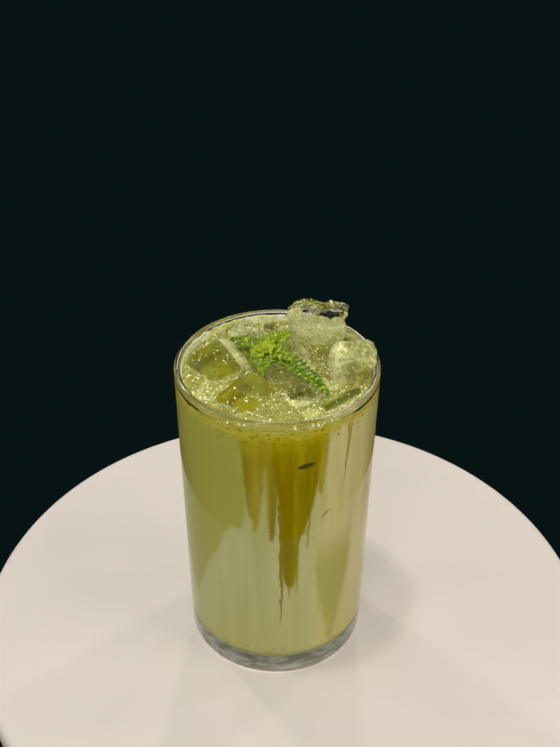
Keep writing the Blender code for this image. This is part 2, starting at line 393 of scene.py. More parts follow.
# %% The ice's shapes
ICE_CUTS = 19
ICE_TO_WALL = 1.3 * MM
OVER_THE_LIP = 1.3
MELT = 0.07
MELT_WAVE = 0.9
SEED_STEP = Vector((7.3, 3.1, 5.7))
RIPPLE = 0.22 * MM
RIPPLE_WAVE = 3.4 * MM
FINE_RIPPLE = 0.12 * MM
FINE_RIPPLE_WAVE = 1.3 * MM
CREST_FROM = LEVEL + 11.5 * MM
CREST_FULL = LEVEL + 14.5 * MM
CREST_GAIN = 3.2
WAIST_AT = LEVEL + 9.5 * MM
WAIST_WIDTH = 1.6 * MM
WAIST_DEPTH = 0.45 * MM
HOLLOW_REACH = 0.5
Ice = namedtuple("Ice", "name x y top wide long tall turn tip_x tip_y squareness seed")
ICE_PIECES = [
    Ice("ice_back_right", 14.8, 23.6, 17.3, 20.6, 9.8, 29.0, 4, 4, 9, 4.6, 1),
    Ice("ice_left", -21.4, 7.6, 2.6, 22.0, 22.0, 19.0, 40, 0, -6, 6.0, 2),
    Ice("ice_front_left", -10.2, -12.4, 2.0, 24.0, 18.2, 18.0, 57, 2, 2, 5.0, 3),
    Ice("ice_front_right", 8.8, -14.6, 2.0, 11.6, 11.4, 16.0, 28, 2, -4, 4.5, 4),
    Ice("ice_centre", 7.6, 12.2, 4.4, 10.8, 9.6, 17.0, 16, 12, -8, 2.8, 5),
    Ice("ice_right", 27.8, 4.4, 8.6, 18.4, 19.0, 25.0, 10, 12, 4, 5.0, 6),
    Ice("ice_right_front", 23.2, -15.9, 1.5, 22.0, 5.8, 13.0, 41, -3, 4, 3.6, 7),
    Ice("ice_back_left", -13.2, 25.2, 2.8, 11.0, 9.2, 14.0, -14, -8, 4, 5.0, 8),
    Ice("ice_back_centre", -2.4, 29.6, 2.0, 8.2, 7.4, 13.0, 8, 5, 3, 4.0, 9),
]
Hollow = namedtuple("Hollow", "piece x y radius depth")
HOLLOWS = [
    Hollow("ice_front_left", -3.6, -2.2, 4.6, 1.3),
    Hollow("ice_front_right", 2.0, -1.0, 3.4, 0.7),
    Hollow("ice_back_right", 1.0, 0.5, 5.5, 2.2),
    Hollow("ice_right", -3.0, 1.0, 5.0, 1.4),
]
Bulge = namedtuple("Bulge", "x z radius out up")
TALL_PIECE = ICE_PIECES[0]
TALL_BULGES = [
    Bulge(5.5, 12.0, 3.6, -2.4, 0.5), Bulge(25.5, 14.2, 2.4, 1.7, -0.3),
    Bulge(25.0, 9.8, 2.4, -1.0, 0.0),
]


def rounded_box(squareness):
    """A cube of side 2 whose corners are drawn in to a rounded box."""
    bm = bmesh.new()
    bmesh.ops.create_cube(bm, size=2.0)
    bmesh.ops.subdivide_edges(bm, edges=bm.edges[:], cuts=ICE_CUTS, use_grid_fill=True)
    for vert in bm.verts:
        total = sum(abs(part) ** squareness for part in vert.co)
        vert.co /= total ** (1.0 / squareness)
    return bm


def kept_inside_wall(point):
    """Draw a point in to the inside of the glass; above the rim it may lean over the lip."""
    limit = inner_radius(min(point.z, GLASS_HEIGHT)) - ICE_TO_WALL
    limit += max(0.0, min(point.z - GLASS_HEIGHT, WALL)) * OVER_THE_LIP
    radius = math.hypot(point.x, point.y)
    if radius > limit:
        point.x *= limit / radius
        point.y *= limit / radius
    return point


def hollowed(ice, point, half_height):
    """Sink the point into the dents that have melted into the top of its piece."""
    for hollow in HOLLOWS:
        if hollow.piece == ice.name and point.z > 0.0:
            away = math.hypot(point.x - hollow.x * MM, point.y - hollow.y * MM)
            depth = hollow.depth * MM * math.exp(-((away / (hollow.radius * MM)) ** 2))
            point.z -= depth * min(1.0, point.z / (half_height * HOLLOW_REACH))
    return point


def move_along_normals(bm, distance_at):
    """Move every point along its normal by the distance that its place asks for."""
    bm.normal_update()
    moved = [(vert, vert.co + vert.normal * distance_at(vert.co)) for vert in bm.verts]
    for vert, place in moved:
        vert.co = place


def how_far(value, start, end):
    """0 at the start and before it, 1 at the end and after it, and a straight line between."""
    return min(1.0, max(0.0, (value - start) / (end - start)))


def ripple_at(place):
    """How far the skin stands out: rougher on the crest of the tall piece, pinched below it."""
    crest = how_far(place.z, CREST_FROM, CREST_FULL)
    ripple = RIPPLE * noise.noise(place / RIPPLE_WAVE)
    ripple += FINE_RIPPLE * noise.noise(place / FINE_RIPPLE_WAVE)
    waist = WAIST_DEPTH * math.exp(-(((place.z - WAIST_AT) / WAIST_WIDTH) ** 2))
    return ripple * (1.0 + CREST_GAIN * crest) - waist


def bulged(place):
    """The tall piece's shoulder on the left, its overhanging crest and the neck below that."""
    moved = place.copy()
    for bulge in TALL_BULGES:
        away = math.hypot(place.x - bulge.x * MM, place.z - LEVEL - bulge.z * MM)
        share = MM * math.exp(-((away / (bulge.radius * MM)) ** 2))
        moved += Vector((bulge.out, 0.0, bulge.up)) * share
    return moved


def ice_form(ice):
    """One finely modelled piece of ice in its place."""
    bm = rounded_box(ice.squareness)
    half = Vector((ice.wide, ice.long, ice.tall)) * (MM / 2)
    turns = Euler((math.radians(ice.tip_x), math.radians(ice.tip_y), math.radians(ice.turn)))
    middle = Vector((ice.x * MM, ice.y * MM, LEVEL + ice.top * MM - half.z))
    for vert in bm.verts:
        melt = 1.0 + MELT * noise.noise(vert.co / MELT_WAVE + SEED_STEP * ice.seed)
        point = hollowed(ice, Vector(a * b for a, b in zip(vert.co * melt, half)), half.z)
        point.rotate(turns)
        vert.co = kept_inside_wall(point + middle)
        if ice is TALL_PIECE:
            vert.co = bulged(vert.co)
    bmesh.ops.recalc_face_normals(bm, faces=bm.faces[:])
    move_along_normals(bm, ripple_at)
    return bm


# %% [markdown]
# Clear ice bends light less than glass does, at 1.31. Melting leaves it glassy in some places and
# hazy in others, so its roughness and its tint wander together. The crest of the tall piece stands
# clear of the drink, and a cool tint is painted into it as painted reflection, for the grey of the
# dark surround and the white glints that it mirrors. The froth that has dried on the ice is a piece
# of its own, further down.

# %% The ice's material
ICE_INDEX = 1.31
CLEAR_ICE = (0.97, 0.98, 0.92)
HAZY_ICE = (0.93, 0.93, 0.74)
CREST_PAINTED_REFLECTION_TINT = (0.80, 0.83, 1.0)
ICE_SHADE = (0.93, 0.95, 0.86)


def ice_material():
    material, tree, shader, place = new_material("wet_ice")
    haze = fade(tree, noise_field(tree, place, 4.5 * MM, detail=3.0), 0.45, 0.65)
    pits = noise_field(tree, place, 0.8 * MM, detail=2.0)
    waves = noise_field(tree, place, 2.6 * MM, detail=2.0)
    relief = plus(tree, waves, times(tree, pits, 0.3))
    height = part_of(tree, place, "Z")
    colour = mix_colour(tree, haze, CLEAR_ICE, HAZY_ICE)
    crest = fade(tree, height, CREST_FROM - 1 * MM, CREST_FROM + 1 * MM)
    dress(
        tree, shader,
        # the crest's cool tint is painted reflection: the grey of the dark surround and its white
        # glints
        Base_Color=mix_colour(tree, crest, colour, CREST_PAINTED_REFLECTION_TINT),
        Roughness=fade(tree, haze, 0.0, 1.0, 0.03, 0.20),
        Normal=bumped(tree, relief, 0.3 * MM, 0.8),
        IOR=ICE_INDEX,
        Transmission_Weight=1.0,
    )
    let_lamps_through(tree, shader, ICE_SHADE)
    return material


clear_ice = ice_material()
ice_pieces = []
for ice in ICE_PIECES:
    piece = make_object(ice.name + "_melted", ice_form(ice), clear_ice, sharp_from=75)
    place_piece(piece, "wet_ice", ice.name)
    ice_pieces.append(piece)

# %% [markdown]
# ## The drink's body
# The milk fills the glass, so its side is set a hair inside the wall: no air gap may show there.
# Its top is a fine polar grid, because the froth is never flat. It climbs a little up the wall and
# up each piece of ice, and small waves cover the rest. The pieces of ice are then cut out of it, a
# hair smaller than they are, so that light in the ice meets the milk directly.

# %% The drink's outline and its froth
INTO_WALL = 0.15 * MM
INTO_ICE = 0.12 * MM
FROTH_RINGS = 84
FROTH_RELIEF = 0.25 * MM
FROTH_WAVE = 7.0 * MM
FINE_FROTH = 2.3
FINE_FROTH_SHARE = 0.5
MENISCUS_RISE = 0.35 * MM
MENISCUS_WIDTH = 1.6 * MM
CLIMB = 0.75 * MM
CLIMB_WIDTH = 0.8 * MM
LUMP = 0.42 * MM
LUMP_WAVE = 2.0 * MM
GRAIN = 0.12 * MM
GRAIN_WAVE = 0.7 * MM


def tree_of(thing):
    """A search tree over a mesh's faces, for finding what is nearest or below."""
    corners = [vert.co.copy() for vert in thing.data.vertices]
    return BVHTree.FromPolygons(corners, [list(face.vertices) for face in thing.data.polygons])


ice_trees = [tree_of(piece) for piece in ice_pieces]


def to_nearest_ice(place):
    """How far a place is from the skin of the nearest piece of ice."""
    return min(tree.find_nearest(place)[3] for tree in ice_trees)


def froth_height(x, y):
    """How far the froth's skin stands above or below LEVEL at a place."""
    place = Vector((x, y, 0.0)) / FROTH_WAVE
    swell = noise.noise(place) + FINE_FROTH_SHARE * noise.noise(place * FINE_FROTH)
    height = FROTH_RELIEF * swell
    to_wall = inner_radius(LEVEL) - math.hypot(x, y)
    height += MENISCUS_RISE * math.exp(-max(0.0, to_wall) / MENISCUS_WIDTH)
    spot = Vector((x, y, LEVEL))
    climb = CLIMB * math.exp(-to_nearest_ice(spot) / CLIMB_WIDTH)
    height += climb * (0.6 + noise.noise(spot / LUMP_WAVE))
    height += LUMP * noise.noise(spot / LUMP_WAVE + SEED_STEP)
    return height + GRAIN * noise.noise(spot / GRAIN_WAVE)


def drink_form():
    side_r = inner_radius(LEVEL) + INTO_WALL
    outline = [(side_r * ring / FROTH_RINGS, LEVEL) for ring in range(FROTH_RINGS + 1)]
    foot = inner_corner(-INTO_WALL)
    outline += foot + [(0.0, foot[-1][1])]
    bm = turned(outline)
    for vert in bm.verts:
        if abs(vert.co.z - LEVEL) < INTO_WALL / 2:
            vert.co.z += froth_height(vert.co.x, vert.co.y)
    bmesh.ops.recalc_face_normals(bm, faces=bm.faces[:])
    return bm


# %% [markdown]
# ### The runs of matcha
# Matcha was poured on last, and it hangs down in the milk in long runs with sharp tips. A shader
# can draw them: a group turns a place into an angle round the glass and a height, and a second
# group makes one run, wide at the top and narrowing to its tip. The runs that the viewer sees were
# measured, and the ones at the back are drawn at random with a fixed seed.

# %% The groups behind the runs
DEGREE = math.degrees(1.0)
Run = namedtuple("Run", "middle half_width top tip lean softness strength taper")
RUNS = [
    Run(12.0, 17.6, 122, 72, 0.0, 1.6, 1.00, 0.50), Run(8.6, 9.0, 122, 45, 0.0, 0.9, 1.00, 0.40),
    Run(12.8, 2.4, 95, 42, 0.0, 0.8, 0.95, 0.7), Run(3.4, 2.6, 95, 26, 0.0, 0.6, 0.95, 0.9),
    Run(8.0, 1.8, 90, 39, 0.0, 0.7, 0.85, 0.7), Run(19.8, 1.6, 100, 63, 0.0, 0.9, 0.80, 0.8),
    Run(26.9, 4.4, 122, 91, 0.0, 1.0, 0.85, 0.50), Run(-13.0, 8.8, 122, 74, 0.0, 1.2, 0.80, 0.70),
    Run(-2.5, 5.0, 122, 71, 0.0, 1.4, 0.90, 0.50), Run(46.6, 1.7, 121, 91, 0.14, 0.8, 0.75, 0.8),
]
FIELDS = [
    Run(-37.0, 22.0, 122, 74, 0.0, 2.5, 0.85, 0.12), Run(-64.0, 68.0, 122, 27, 0.0, 3.0, 0.80, 1.0),
    Run(39.0, 14.0, 54, 11, 0.0, 3.0, 0.75, 0.75), Run(75.0, 12.0, 122, 60, 0.0, 5.0, 0.50, 0.5),
]
BACK_RUNS = 13
BACK_SEED = 11
BACK_FROM = 96
RUN_TOP = 122
TIP_FADE = 4.0
TOP_FADE = 22.0


def place_group():
    group, given, out = new_group(
        "round_the_glass", [("Place", "Vector")], [("Angle", "Float"), ("Height", "Float")]
    )
    parts = add_node(group, "SeparateXYZ", Vector=given["Place"]).outputs
    turn = maths(group, "ARCTAN2", parts["X"], times(group, parts["Y"], -1.0))
    feed(group, out["Angle"], times(group, turn, DEGREE))
    feed(group, out["Height"], times(group, parts["Z"], 1.0 / MM))
    return group


def run_group():
    labels = "Angle Height Middle Half_Width Top Tip Lean Softness Strength Taper".split()
    sockets = [(label.replace("_", " "), "Float") for label in labels]
    group, given, out = new_group("matcha_run", sockets, [("Mask", "Float")])
    above_tip = minus(group, given["Height"], given["Tip"])
    length = minus(group, given["Top"], given["Tip"])
    along = maths(group, "DIVIDE", above_tip, length, clamp=True)
    width = times(group, given["Half Width"], maths(group, "POWER", along, given["Taper"]))
    drop = minus(group, given["Top"], given["Height"])
    middle = minus(group, given["Middle"], times(group, drop, given["Lean"]))
    off = maths(group, "WRAP", minus(group, given["Angle"], middle), 180.0, -180.0)
    inside = minus(group, width, maths(group, "ABSOLUTE", off))
    low = times(group, given["Softness"], -1.0)
    mask = fade(group, inside, low, given["Softness"])
    shown = times(group, mask, fade(group, above_tip, 0.0, TIP_FADE))
    above_top = times(group, drop, -1.0)
    shown = times(group, shown, fade(group, above_top, 0.0, TOP_FADE, 1.0, 0.0))
    feed(group, out["Mask"], times(group, shown, given["Strength"]))
    return group


# %% [markdown]
# The side's colour is built in layers: pale milk at the bottom, warmer towards the right, more
# matcha dissolved in it higher up, faint upright veils, broad olive fields, the runs, and a ragged
# olive band just under the froth. Fine specks lie near the top and the foot. On the glass's floor
# the milk's underside is painted near white, as painted light for the brightness that the clear
# foot shows, and mottled darker. The two dark marks are leaf crumbs that stick to the inside of the
# glass. The warm tone on the right fades out towards the back, so that no seam shows there.

# %% The drink's side
PALE_MILK = (0.370, 0.355, 0.160)
WARM_MILK = (0.495, 0.405, 0.175)
OLIVE_MILK = (0.255, 0.240, 0.034)
MATCHA = (0.175, 0.125, 0.0)
MATCHA_LIGHT = (0.29, 0.235, 0.003)
FOAM_BAND = (0.36, 0.31, 0.03)
CRUMB = (0.055, 0.050, 0.008)
MILK_UNDER_PAINTED_LIGHT = (0.95, 0.95, 0.84)
MILK_UNDER_DARK_MOTTLE = (0.36, 0.37, 0.27)
RUN_WOBBLE = 4.2
RUN_SAG = 11.0
Mark = namedtuple("Mark", "angle height half_angle half_height rise strength")
MARKS = [Mark(17.2, 107.3, 5.2, 1.1, 0.10, 1.0), Mark(30.5, 82.3, 2.8, 0.7, 0.45, 0.5)]


def back_runs():
    """Runs for the side that isn't seen from the front, drawn at random."""
    draw = random.Random(BACK_SEED)
    runs = []
    for index in range(BACK_RUNS):
        share = (index + draw.uniform(0.2, 0.8)) / BACK_RUNS
        middle = BACK_FROM + (360 - 2 * BACK_FROM) * share
        tip = draw.uniform(44, 96)
        strength = draw.uniform(0.5, 1.0)
        wide, soft = draw.uniform(3, 9), draw.uniform(0.7, 3.0)
        runs.append(Run(middle, wide, RUN_TOP, tip, 0.0, soft, strength, draw.uniform(0.3, 0.7)))
    return runs


def marks_mask(tree, angle, height):
    """Where the small slanting crumbs are."""
    total = 0.0
    for mark in MARKS:
        across = minus(tree, angle, mark.angle)
        up = minus(tree, height, mark.height)
        slanted = minus(tree, up, times(tree, across, mark.rise))
        far_across = maths(tree, "POWER", maths(tree, "DIVIDE", across, mark.half_angle), 2.0)
        far_up = maths(tree, "POWER", maths(tree, "DIVIDE", slanted, mark.half_height), 2.0)
        spot = fade(tree, plus(tree, far_across, far_up), 0.6, 1.3, mark.strength, 0.0)
        total = larger(tree, total, spot)
    return total


def runs_mask(tree, group, angle, height, runs):
    """Where any run of the list covers the side."""
    total = 0.0
    for run in runs:
        mask = use_group(
            tree, group, Angle=angle, Height=height, Middle=run.middle, Half_Width=run.half_width,
            Top=float(run.top), Tip=float(run.tip), Lean=run.lean, Softness=run.softness,
            Strength=run.strength, Taper=run.taper,
        )["Mask"]
        total = larger(tree, total, mask)
    return total


def milk_side_material():
    material, tree, shader, place = new_material("matcha_milk")
    found = use_group(tree, place_group(), Place=place)
    wobble = minus(tree, noise_field(tree, place, 5 * MM, detail=4.0, roughness=0.6), 0.5)
    angle = plus(tree, found["Angle"], times(tree, wobble, RUN_WOBBLE))
    height = plus(tree, found["Height"], times(tree, wobble, RUN_SAG))
    stretch = add_node(tree, "Mapping", Vector=place, Scale=(1.0, 1.0, 0.07)).outputs[0]
    veils = noise_field(tree, stretch, 4 * MM, detail=4.0, roughness=0.6)
    clouds = noise_field(tree, place, 22 * MM, detail=2.0)
    to_right = fade(tree, found["Angle"], 14.0, 40.0)
    to_right = times(tree, to_right, fade(tree, found["Angle"], 90.0, 170.0, 1.0, 0.0))
    milk = mix_colour(tree, to_right, PALE_MILK, WARM_MILK)
    rising = fade(tree, plus(tree, height, times(tree, clouds, 40.0)), 70.0, 140.0)
    rising = times(tree, rising, fade(tree, to_right, 0.0, 1.0, 0.35, 0.06))
    milk = mix_colour(tree, rising, milk, OLIVE_MILK)
    milk = mix_colour(tree, fade(tree, veils, 0.35, 0.70, 0.0, 0.28), milk, OLIVE_MILK)
    run = run_group()
    milk = mix_colour(tree, runs_mask(tree, run, angle, height, FIELDS), milk, OLIVE_MILK)
    mask = runs_mask(tree, run, angle, height, RUNS + back_runs())
    fresh = fade(tree, plus(tree, height, times(tree, veils, 30.0)), 118.0, 140.0)
    light = larger(tree, fresh, fade(tree, veils, 0.42, 0.68, 0.0, 0.75))
    matcha = mix_colour(tree, light, MATCHA, MATCHA_LIGHT)
    colour = mix_colour(tree, mask, milk, matcha)
    foam = noise_field(tree, place, 3 * MM, detail=3.0)
    band = fade(tree, plus(tree, found["Height"], times(tree, foam, 7.0)), 122.0, 125.2)
    colour = mix_colour(tree, times(tree, band, 0.8), colour, FOAM_BAND)
    spots = fade(tree, noise_field(tree, place, 1.6 * MM, detail=3.0), 0.56, 0.64)
    near_top = fade(tree, found["Height"], 114.0, 119.0)
    near_foot = fade(tree, found["Height"], 12.0, 16.0, 0.7, 0.0)
    spotted = times(tree, spots, larger(tree, near_top, near_foot))
    colour = mix_colour(tree, times(tree, spotted, 0.7), colour, MATCHA)
    colour = mix_colour(tree, marks_mask(tree, found["Angle"], found["Height"]), colour, CRUMB)
    # the milk's underside on the glass's floor: near white as painted light, mottled darker
    under = fade(tree, found["Height"], 7.1, 7.5, 1.0, 0.0)
    mottle = fade(tree, noise_field(tree, place, 4 * MM, detail=3.0), 0.42, 0.60)
    underside_mottled_light = mix_colour(tree, mottle, MILK_UNDER_DARK_MOTTLE, MILK_UNDER_PAINTED_LIGHT)
    colour = mix_colour(tree, under, colour, underside_mottled_light)
    low = times(tree, fade(tree, height, 8.0, 60.0, 0.30, 0.0), minus(tree, 1.0, under))
    colour = mix_colour(tree, low, colour, OLIVE_MILK)
    dress(
        tree, shader,
        Base_Color=colour,
        Roughness=fade(tree, veils, 0.3, 0.7, 0.5, 0.65),
        Specular_IOR_Level=0.0,
    )
    return material


# %% [markdown]
# ### The froth and the milk round the ice
# Froth is a mass of bubbles. Cell noise gives both looks at once: pale rims where the films meet,
# and darker middles where the drink shows through. Matcha that has not dissolved lies on it in
# olive clots and patches, and as an olive ring along the near wall, and where the froth is thickest
# it is pale. The skin on the ice and the film on the wall show the same froth, so its cells, its
# patches and its whole look are node groups, built once. The pockets that hold the ice are seen
# only through the ice, deep and olive.

# %% The froth's material
PALE_FROTH = (0.86, 0.84, 0.25)
GREEN_FROTH = (0.46, 0.445, 0.036)
OLIVE_FROTH = (0.31, 0.265, 0.003)
DEEP_OLIVE = (0.11, 0.10, 0.002)
Patch = namedtuple("Patch", "x y radius strength")
PATCHES = [
    Patch(18.5, 11.0, 7.0, 1.3), Patch(-27, 26.5, 6.0, 0.8), Patch(-20, 31.5, 6.0, 0.8),
    Patch(-31.6, -3.2, 4.5, 0.55), Patch(-17.4, -21.9, 6.5, 1.1), Patch(8.6, -8.0, 6.0, 0.8),
    Patch(-0.2, 15.5, 4.0, 0.6), Patch(29.8, 20.7, 5.0, 0.8), Patch(10, -29, 6.0, 0.4),
    Patch(-5.0, -24.5, 6.5, 0.9), Patch(31.5, -7.7, 4.5, 1.0), Patch(27.0, -5.5, 4.0, 0.8),
]
PALE_PATCHES = [
    Patch(10.9, 4.3, 5.0, 1.0), Patch(19.5, -7.0, 5.5, 1.1), Patch(-26.3, -13.1, 5.5, 1.0),
    Patch(12.1, -25.0, 5.0, 1.0), Patch(-33.5, 9, 4.0, 0.8), Patch(-6.2, 33.0, 5.0, 0.8),
]
LARGE_CELL = 1.5 * MM
SMALL_CELL = 0.6 * MM
WALL_RING = (31 * MM, 34 * MM)
WALL_RING_FRONT = (-26 * MM, -12 * MM)


def cells_group():
    group, given, out = new_group(
        "bubble_cells", [("Place", "Vector"), ("Scale", "Float")],
        [("Rim", "Float"), ("Tone", "Float")],
    )
    where = {"Vector": given["Place"], "Scale": given["Scale"]}
    edge = add_node(group, "TexVoronoi", {"feature": "DISTANCE_TO_EDGE"}, **where)
    cell = add_node(group, "TexVoronoi", **where)
    tone = add_node(group, "SeparateColor", Color=cell.outputs["Color"]).outputs[0]
    feed(group, out["Rim"], fade(group, edge.outputs["Distance"], 0.02, 0.16, 1.0, 0.0))
    feed(group, out["Tone"], tone)
    return group


bubble_cells = cells_group()


def patch_mask(tree, place, patches):
    """Where the patches of this list lie on the froth."""
    flat = add_node(tree, "VectorMath", {"operation": "MULTIPLY_ADD"}, Vector=place)
    flat.inputs[1].default_value = (1.0, 1.0, 0.0)
    flat.inputs[2].default_value = (0.0, 0.0, LEVEL)
    total = 0.0
    for patch in patches:
        spot = (patch.x * MM, patch.y * MM, LEVEL)
        far = add_node(tree, "VectorMath", {"operation": "DISTANCE"}, Vector=flat.outputs[0])
        far.inputs[1].default_value = spot
        near = fade(tree, far.outputs["Value"], patch.radius * MM, 0.3 * patch.radius * MM)
        total = larger(tree, total, times(tree, near, patch.strength))
    return total


def patches_group():
    """Where matcha lies on the froth, for the froth, its skin on the ice and its film."""
    group, given, out = new_group("matcha_patches", [("Place", "Vector")], [("Mask", "Float")])
    feed(group, out["Mask"], patch_mask(group, given["Place"], PATCHES))
    return group


matcha_patches = patches_group()


def froth_group():
    """The froth's colour, its bubble relief and its grain, for the froth and its skin."""
    tree, given, out = new_group(
        "froth_look", [("Place", "Vector")],
        [("Colour", "Color"), ("Normal", "Vector"), ("Grain", "Float")],
    )
    place = given["Place"]
    large = use_group(tree, bubble_cells, Place=place, Scale=1.0 / LARGE_CELL)
    small = use_group(tree, bubble_cells, Place=place, Scale=1.0 / SMALL_CELL)
    broad = noise_field(tree, place, 6 * MM, detail=4.0, roughness=0.6)
    grain = noise_field(tree, place, 1.5 * MM, detail=4.0, roughness=0.75)
    speckle = times(tree, minus(tree, grain, 0.5), 2.4)
    drifts = fade(tree, broad, 0.42, 0.66, -0.3, 0.4)
    lying = plus(tree, use_group(tree, matcha_patches, Place=place)["Mask"], drifts)
    matcha = fade(tree, plus(tree, lying, speckle), 0.15, 0.75)
    milky = plus(tree, patch_mask(tree, place, PALE_PATCHES), speckle)
    pale = fade(tree, minus(tree, milky, fade(tree, broad, 0.4, 0.6, 0.0, 0.3)), 0.0, 0.9)
    base = mix_colour(tree, pale, GREEN_FROTH, PALE_FROTH)
    base = mix_colour(tree, matcha, base, OLIVE_FROTH)
    clots = noise_field(tree, place, 2.4 * MM, detail=5.0, roughness=0.7)
    clots = fade(tree, clots, 0.50, 0.58, 0.0, 0.85)
    base = mix_colour(tree, times(tree, clots, minus(tree, 1.0, pale)), base, OLIVE_FROTH)
    dark = fade(tree, small["Tone"], 0.62, 0.95, 0.0, 0.65)
    base = mix_colour(tree, dark, base, DEEP_OLIVE)
    parts = add_node(tree, "SeparateXYZ", Vector=place).outputs
    flat = add_node(tree, "CombineXYZ", X=parts["X"], Y=parts["Y"]).outputs[0]
    off_axis = add_node(tree, "VectorMath", {"operation": "LENGTH"}, Vector=flat).outputs["Value"]
    ring = fade(tree, plus(tree, off_axis, times(tree, broad, 4 * MM)), *WALL_RING)
    near_wall = times(tree, ring, fade(tree, parts["Y"], *WALL_RING_FRONT, 0.9, 0.0))
    base = mix_colour(tree, near_wall, base, mix_colour(tree, clots, MATCHA_LIGHT, OLIVE_MILK))
    films = larger(tree, large["Rim"], small["Rim"])
    lacing = times(tree, films, fade(tree, near_wall, 0.0, 1.0, 0.30, 0.12))
    raised = plus(tree, large["Rim"], times(tree, small["Rim"], 0.5))
    feed(tree, out["Colour"], mix_colour(tree, lacing, base, PALE_FROTH))
    feed(tree, out["Normal"], bumped(tree, raised, 0.4 * MM, 1.0))
    feed(tree, out["Grain"], grain)
    return tree


froth_look = froth_group()


def froth_material():
    material, tree, shader, place = new_material("froth")
    froth = use_group(tree, froth_look, Place=place)
    dress(
        tree, shader,
        Base_Color=froth["Colour"],
        Roughness=fade(tree, froth["Grain"], 0.3, 0.7, 0.05, 0.25),
        Normal=froth["Normal"],
    )
    return material


# %% [markdown]
# What is seen through the ice is the milk behind it. Each pocket could copy the froth, but no froth
# gets under the ice, so its walls are plain and cloudy, lighter near the top, and amber on the
# left where matcha has run down beside the ice.

# %% The pockets that hold the ice
AMBER = (0.54, 0.47, 0.004)
GREY_GREEN = (0.45, 0.46, 0.12)
POCKET_OLIVE = (0.42, 0.395, 0.02)
LIGHT_GREEN = (0.55, 0.56, 0.14)
AMBER_AT = Patch(-17.0, -11.0, 12.0, 1.0)


def pocket_material():
    material, tree, shader, place = new_material("milk_round_ice")
    clouds = noise_field(tree, place, 5 * MM, detail=3.0)
    height = part_of(tree, place, "Z")
    colour = mix_colour(tree, fade(tree, clouds, 0.35, 0.65), GREY_GREEN, POCKET_OLIVE)
    high = fade(tree, height, LEVEL - 4 * MM, LEVEL)
    colour = mix_colour(tree, times(tree, high, 0.7), colour, LIGHT_GREEN)
    colour = mix_colour(tree, patch_mask(tree, place, [AMBER_AT]), colour, AMBER)
    dress(
        tree, shader,
        Base_Color=colour,
        Roughness=fade(tree, clouds, 0.3, 0.7, 0.45, 0.6),
        Specular_IOR_Level=0.0,
    )
    return material


# %% [markdown]
# Now the ice is cut out of the drink. Each cutter is a copy of a finished piece whose skin is
# moved in by a hair. The cut walls take the pocket material, and the top faces take the froth.

# %% Cut the ice out of the drink
SIDE_SLOT, FROTH_SLOT = 0, 1


def cutter_from(piece, material):
    bm = bmesh.new()
    bm.from_mesh(piece.data)
    move_along_normals(bm, lambda place: -INTO_ICE)
    cutter = make_object("cut_" + piece.name, bm, material)
    cutter.hide_render = True
    cutter.display_type = "WIRE"
    return cutter


def make_drink():
    pocket = pocket_material()
    drink = make_object("latte", drink_form(), milk_side_material(), froth_material(), pocket)
    cutters = bpy.data.collections.new("ice_cutters")
    bpy.context.scene.collection.children.link(cutters)
    for piece in ice_pieces:
        cutter = cutter_from(piece, pocket)
        bpy.context.scene.collection.objects.unlink(cutter)
        cutters.objects.link(cutter)
    for face in drink.data.polygons:
        at_wall = math.hypot(face.center.x, face.center.y) > inner_radius(LEVEL) - MM
        level_enough = face.normal.z > (0.5 if at_wall else 0.3)
        is_froth = face.center.z > LEVEL - MM and level_enough
        face.material_index = FROTH_SLOT if is_froth else SIDE_SLOT
    cut = drink.modifiers.new("Cut", "BOOLEAN")
    cut.operand_type = "COLLECTION"
    cut.collection = cutters
    cut.solver = "EXACT"
    cut.material_mode = "TRANSFER"
    depsgraph = bpy.context.evaluated_depsgraph_get()
    drink.data = bpy.data.meshes.new_from_object(drink.evaluated_get(depsgraph))
    drink.modifiers.clear()
    for cutter in list(cutters.objects):
        bpy.data.objects.remove(cutter, do_unlink=True)
    bpy.data.collections.remove(cutters)
    print("drink's materials:", [material.name for material in drink.data.materials])
    return drink


drink = make_drink()
place_piece(drink, "matcha_milk", "drink")

# %% [markdown]
# ## Froth on the ice
# Froth creeps up wet ice and dries on it. A thin skin is taken from the upper part of each piece
# of ice and lifted off it by a hair. Each point of the skin carries a number, coat, that says how
# much froth lies there: all round the waterline, over most of the tall piece at the back, and in
# streaks on the others. The crest of the tall piece stays bare, with a ragged edge below it. The
# material turns the number into ragged patches with holes, and dries the froth where it is thick.

# %% The skin of froth
SKIN_FROM = LEVEL - 0.6 * MM
SKIN_LIFT = 0.09 * MM
SKIN_LUMP = 0.16 * MM
SKIN_WAVE = 0.9 * MM
WATERLINE_WIDTH = 1.3 * MM
BARE_FRONT = LEVEL + 12.5 * MM
BARE_BACK = LEVEL + 4.0 * MM
BARE_FADE = 2.0 * MM
BARE_RAGGED = 5.0 * MM
BARE_WAVE = 3.0 * MM
SHOULDER_X = 10.0 * MM
SHOULDER_FADE = 4.0 * MM
SHOULDER_RISE = 3.5 * MM
FRONT_Y = 20.5 * MM
BACK_Y = 24.0 * MM
COAT = {
    "ice_back_right": 0.76, "ice_left": -0.05, "ice_front_left": -0.15, "ice_front_right": 0.24,
    "ice_centre": 0.55, "ice_right": 0.57, "ice_right_front": -0.05, "ice_back_left": 0.55,
    "ice_back_centre": 0.30,
}
Streak = namedtuple("Streak", "x1 y1 x2 y2 width amount")
STREAKS = [
    Streak(-21.0, 19.5, -13.0, 4.5, 2.8, 0.95), Streak(-5.5, -2.5, -1.0, -11.0, 1.2, 0.45),
    Streak(20.0, -4.0, 22.0, 8.0, 2.4, 0.35),
    Streak(3.0, -20.0, 12.0, -20.0, 1.6, 0.25),
]


def distance_to_streak(streak, x, y):
    start = Vector((streak.x1, streak.y1))
    run = Vector((streak.x2, streak.y2)) - start
    spot = Vector((x, y)) / MM - start
    along = how_far(spot.dot(run), 0.0, run.length_squared)
    return (spot - run * along).length


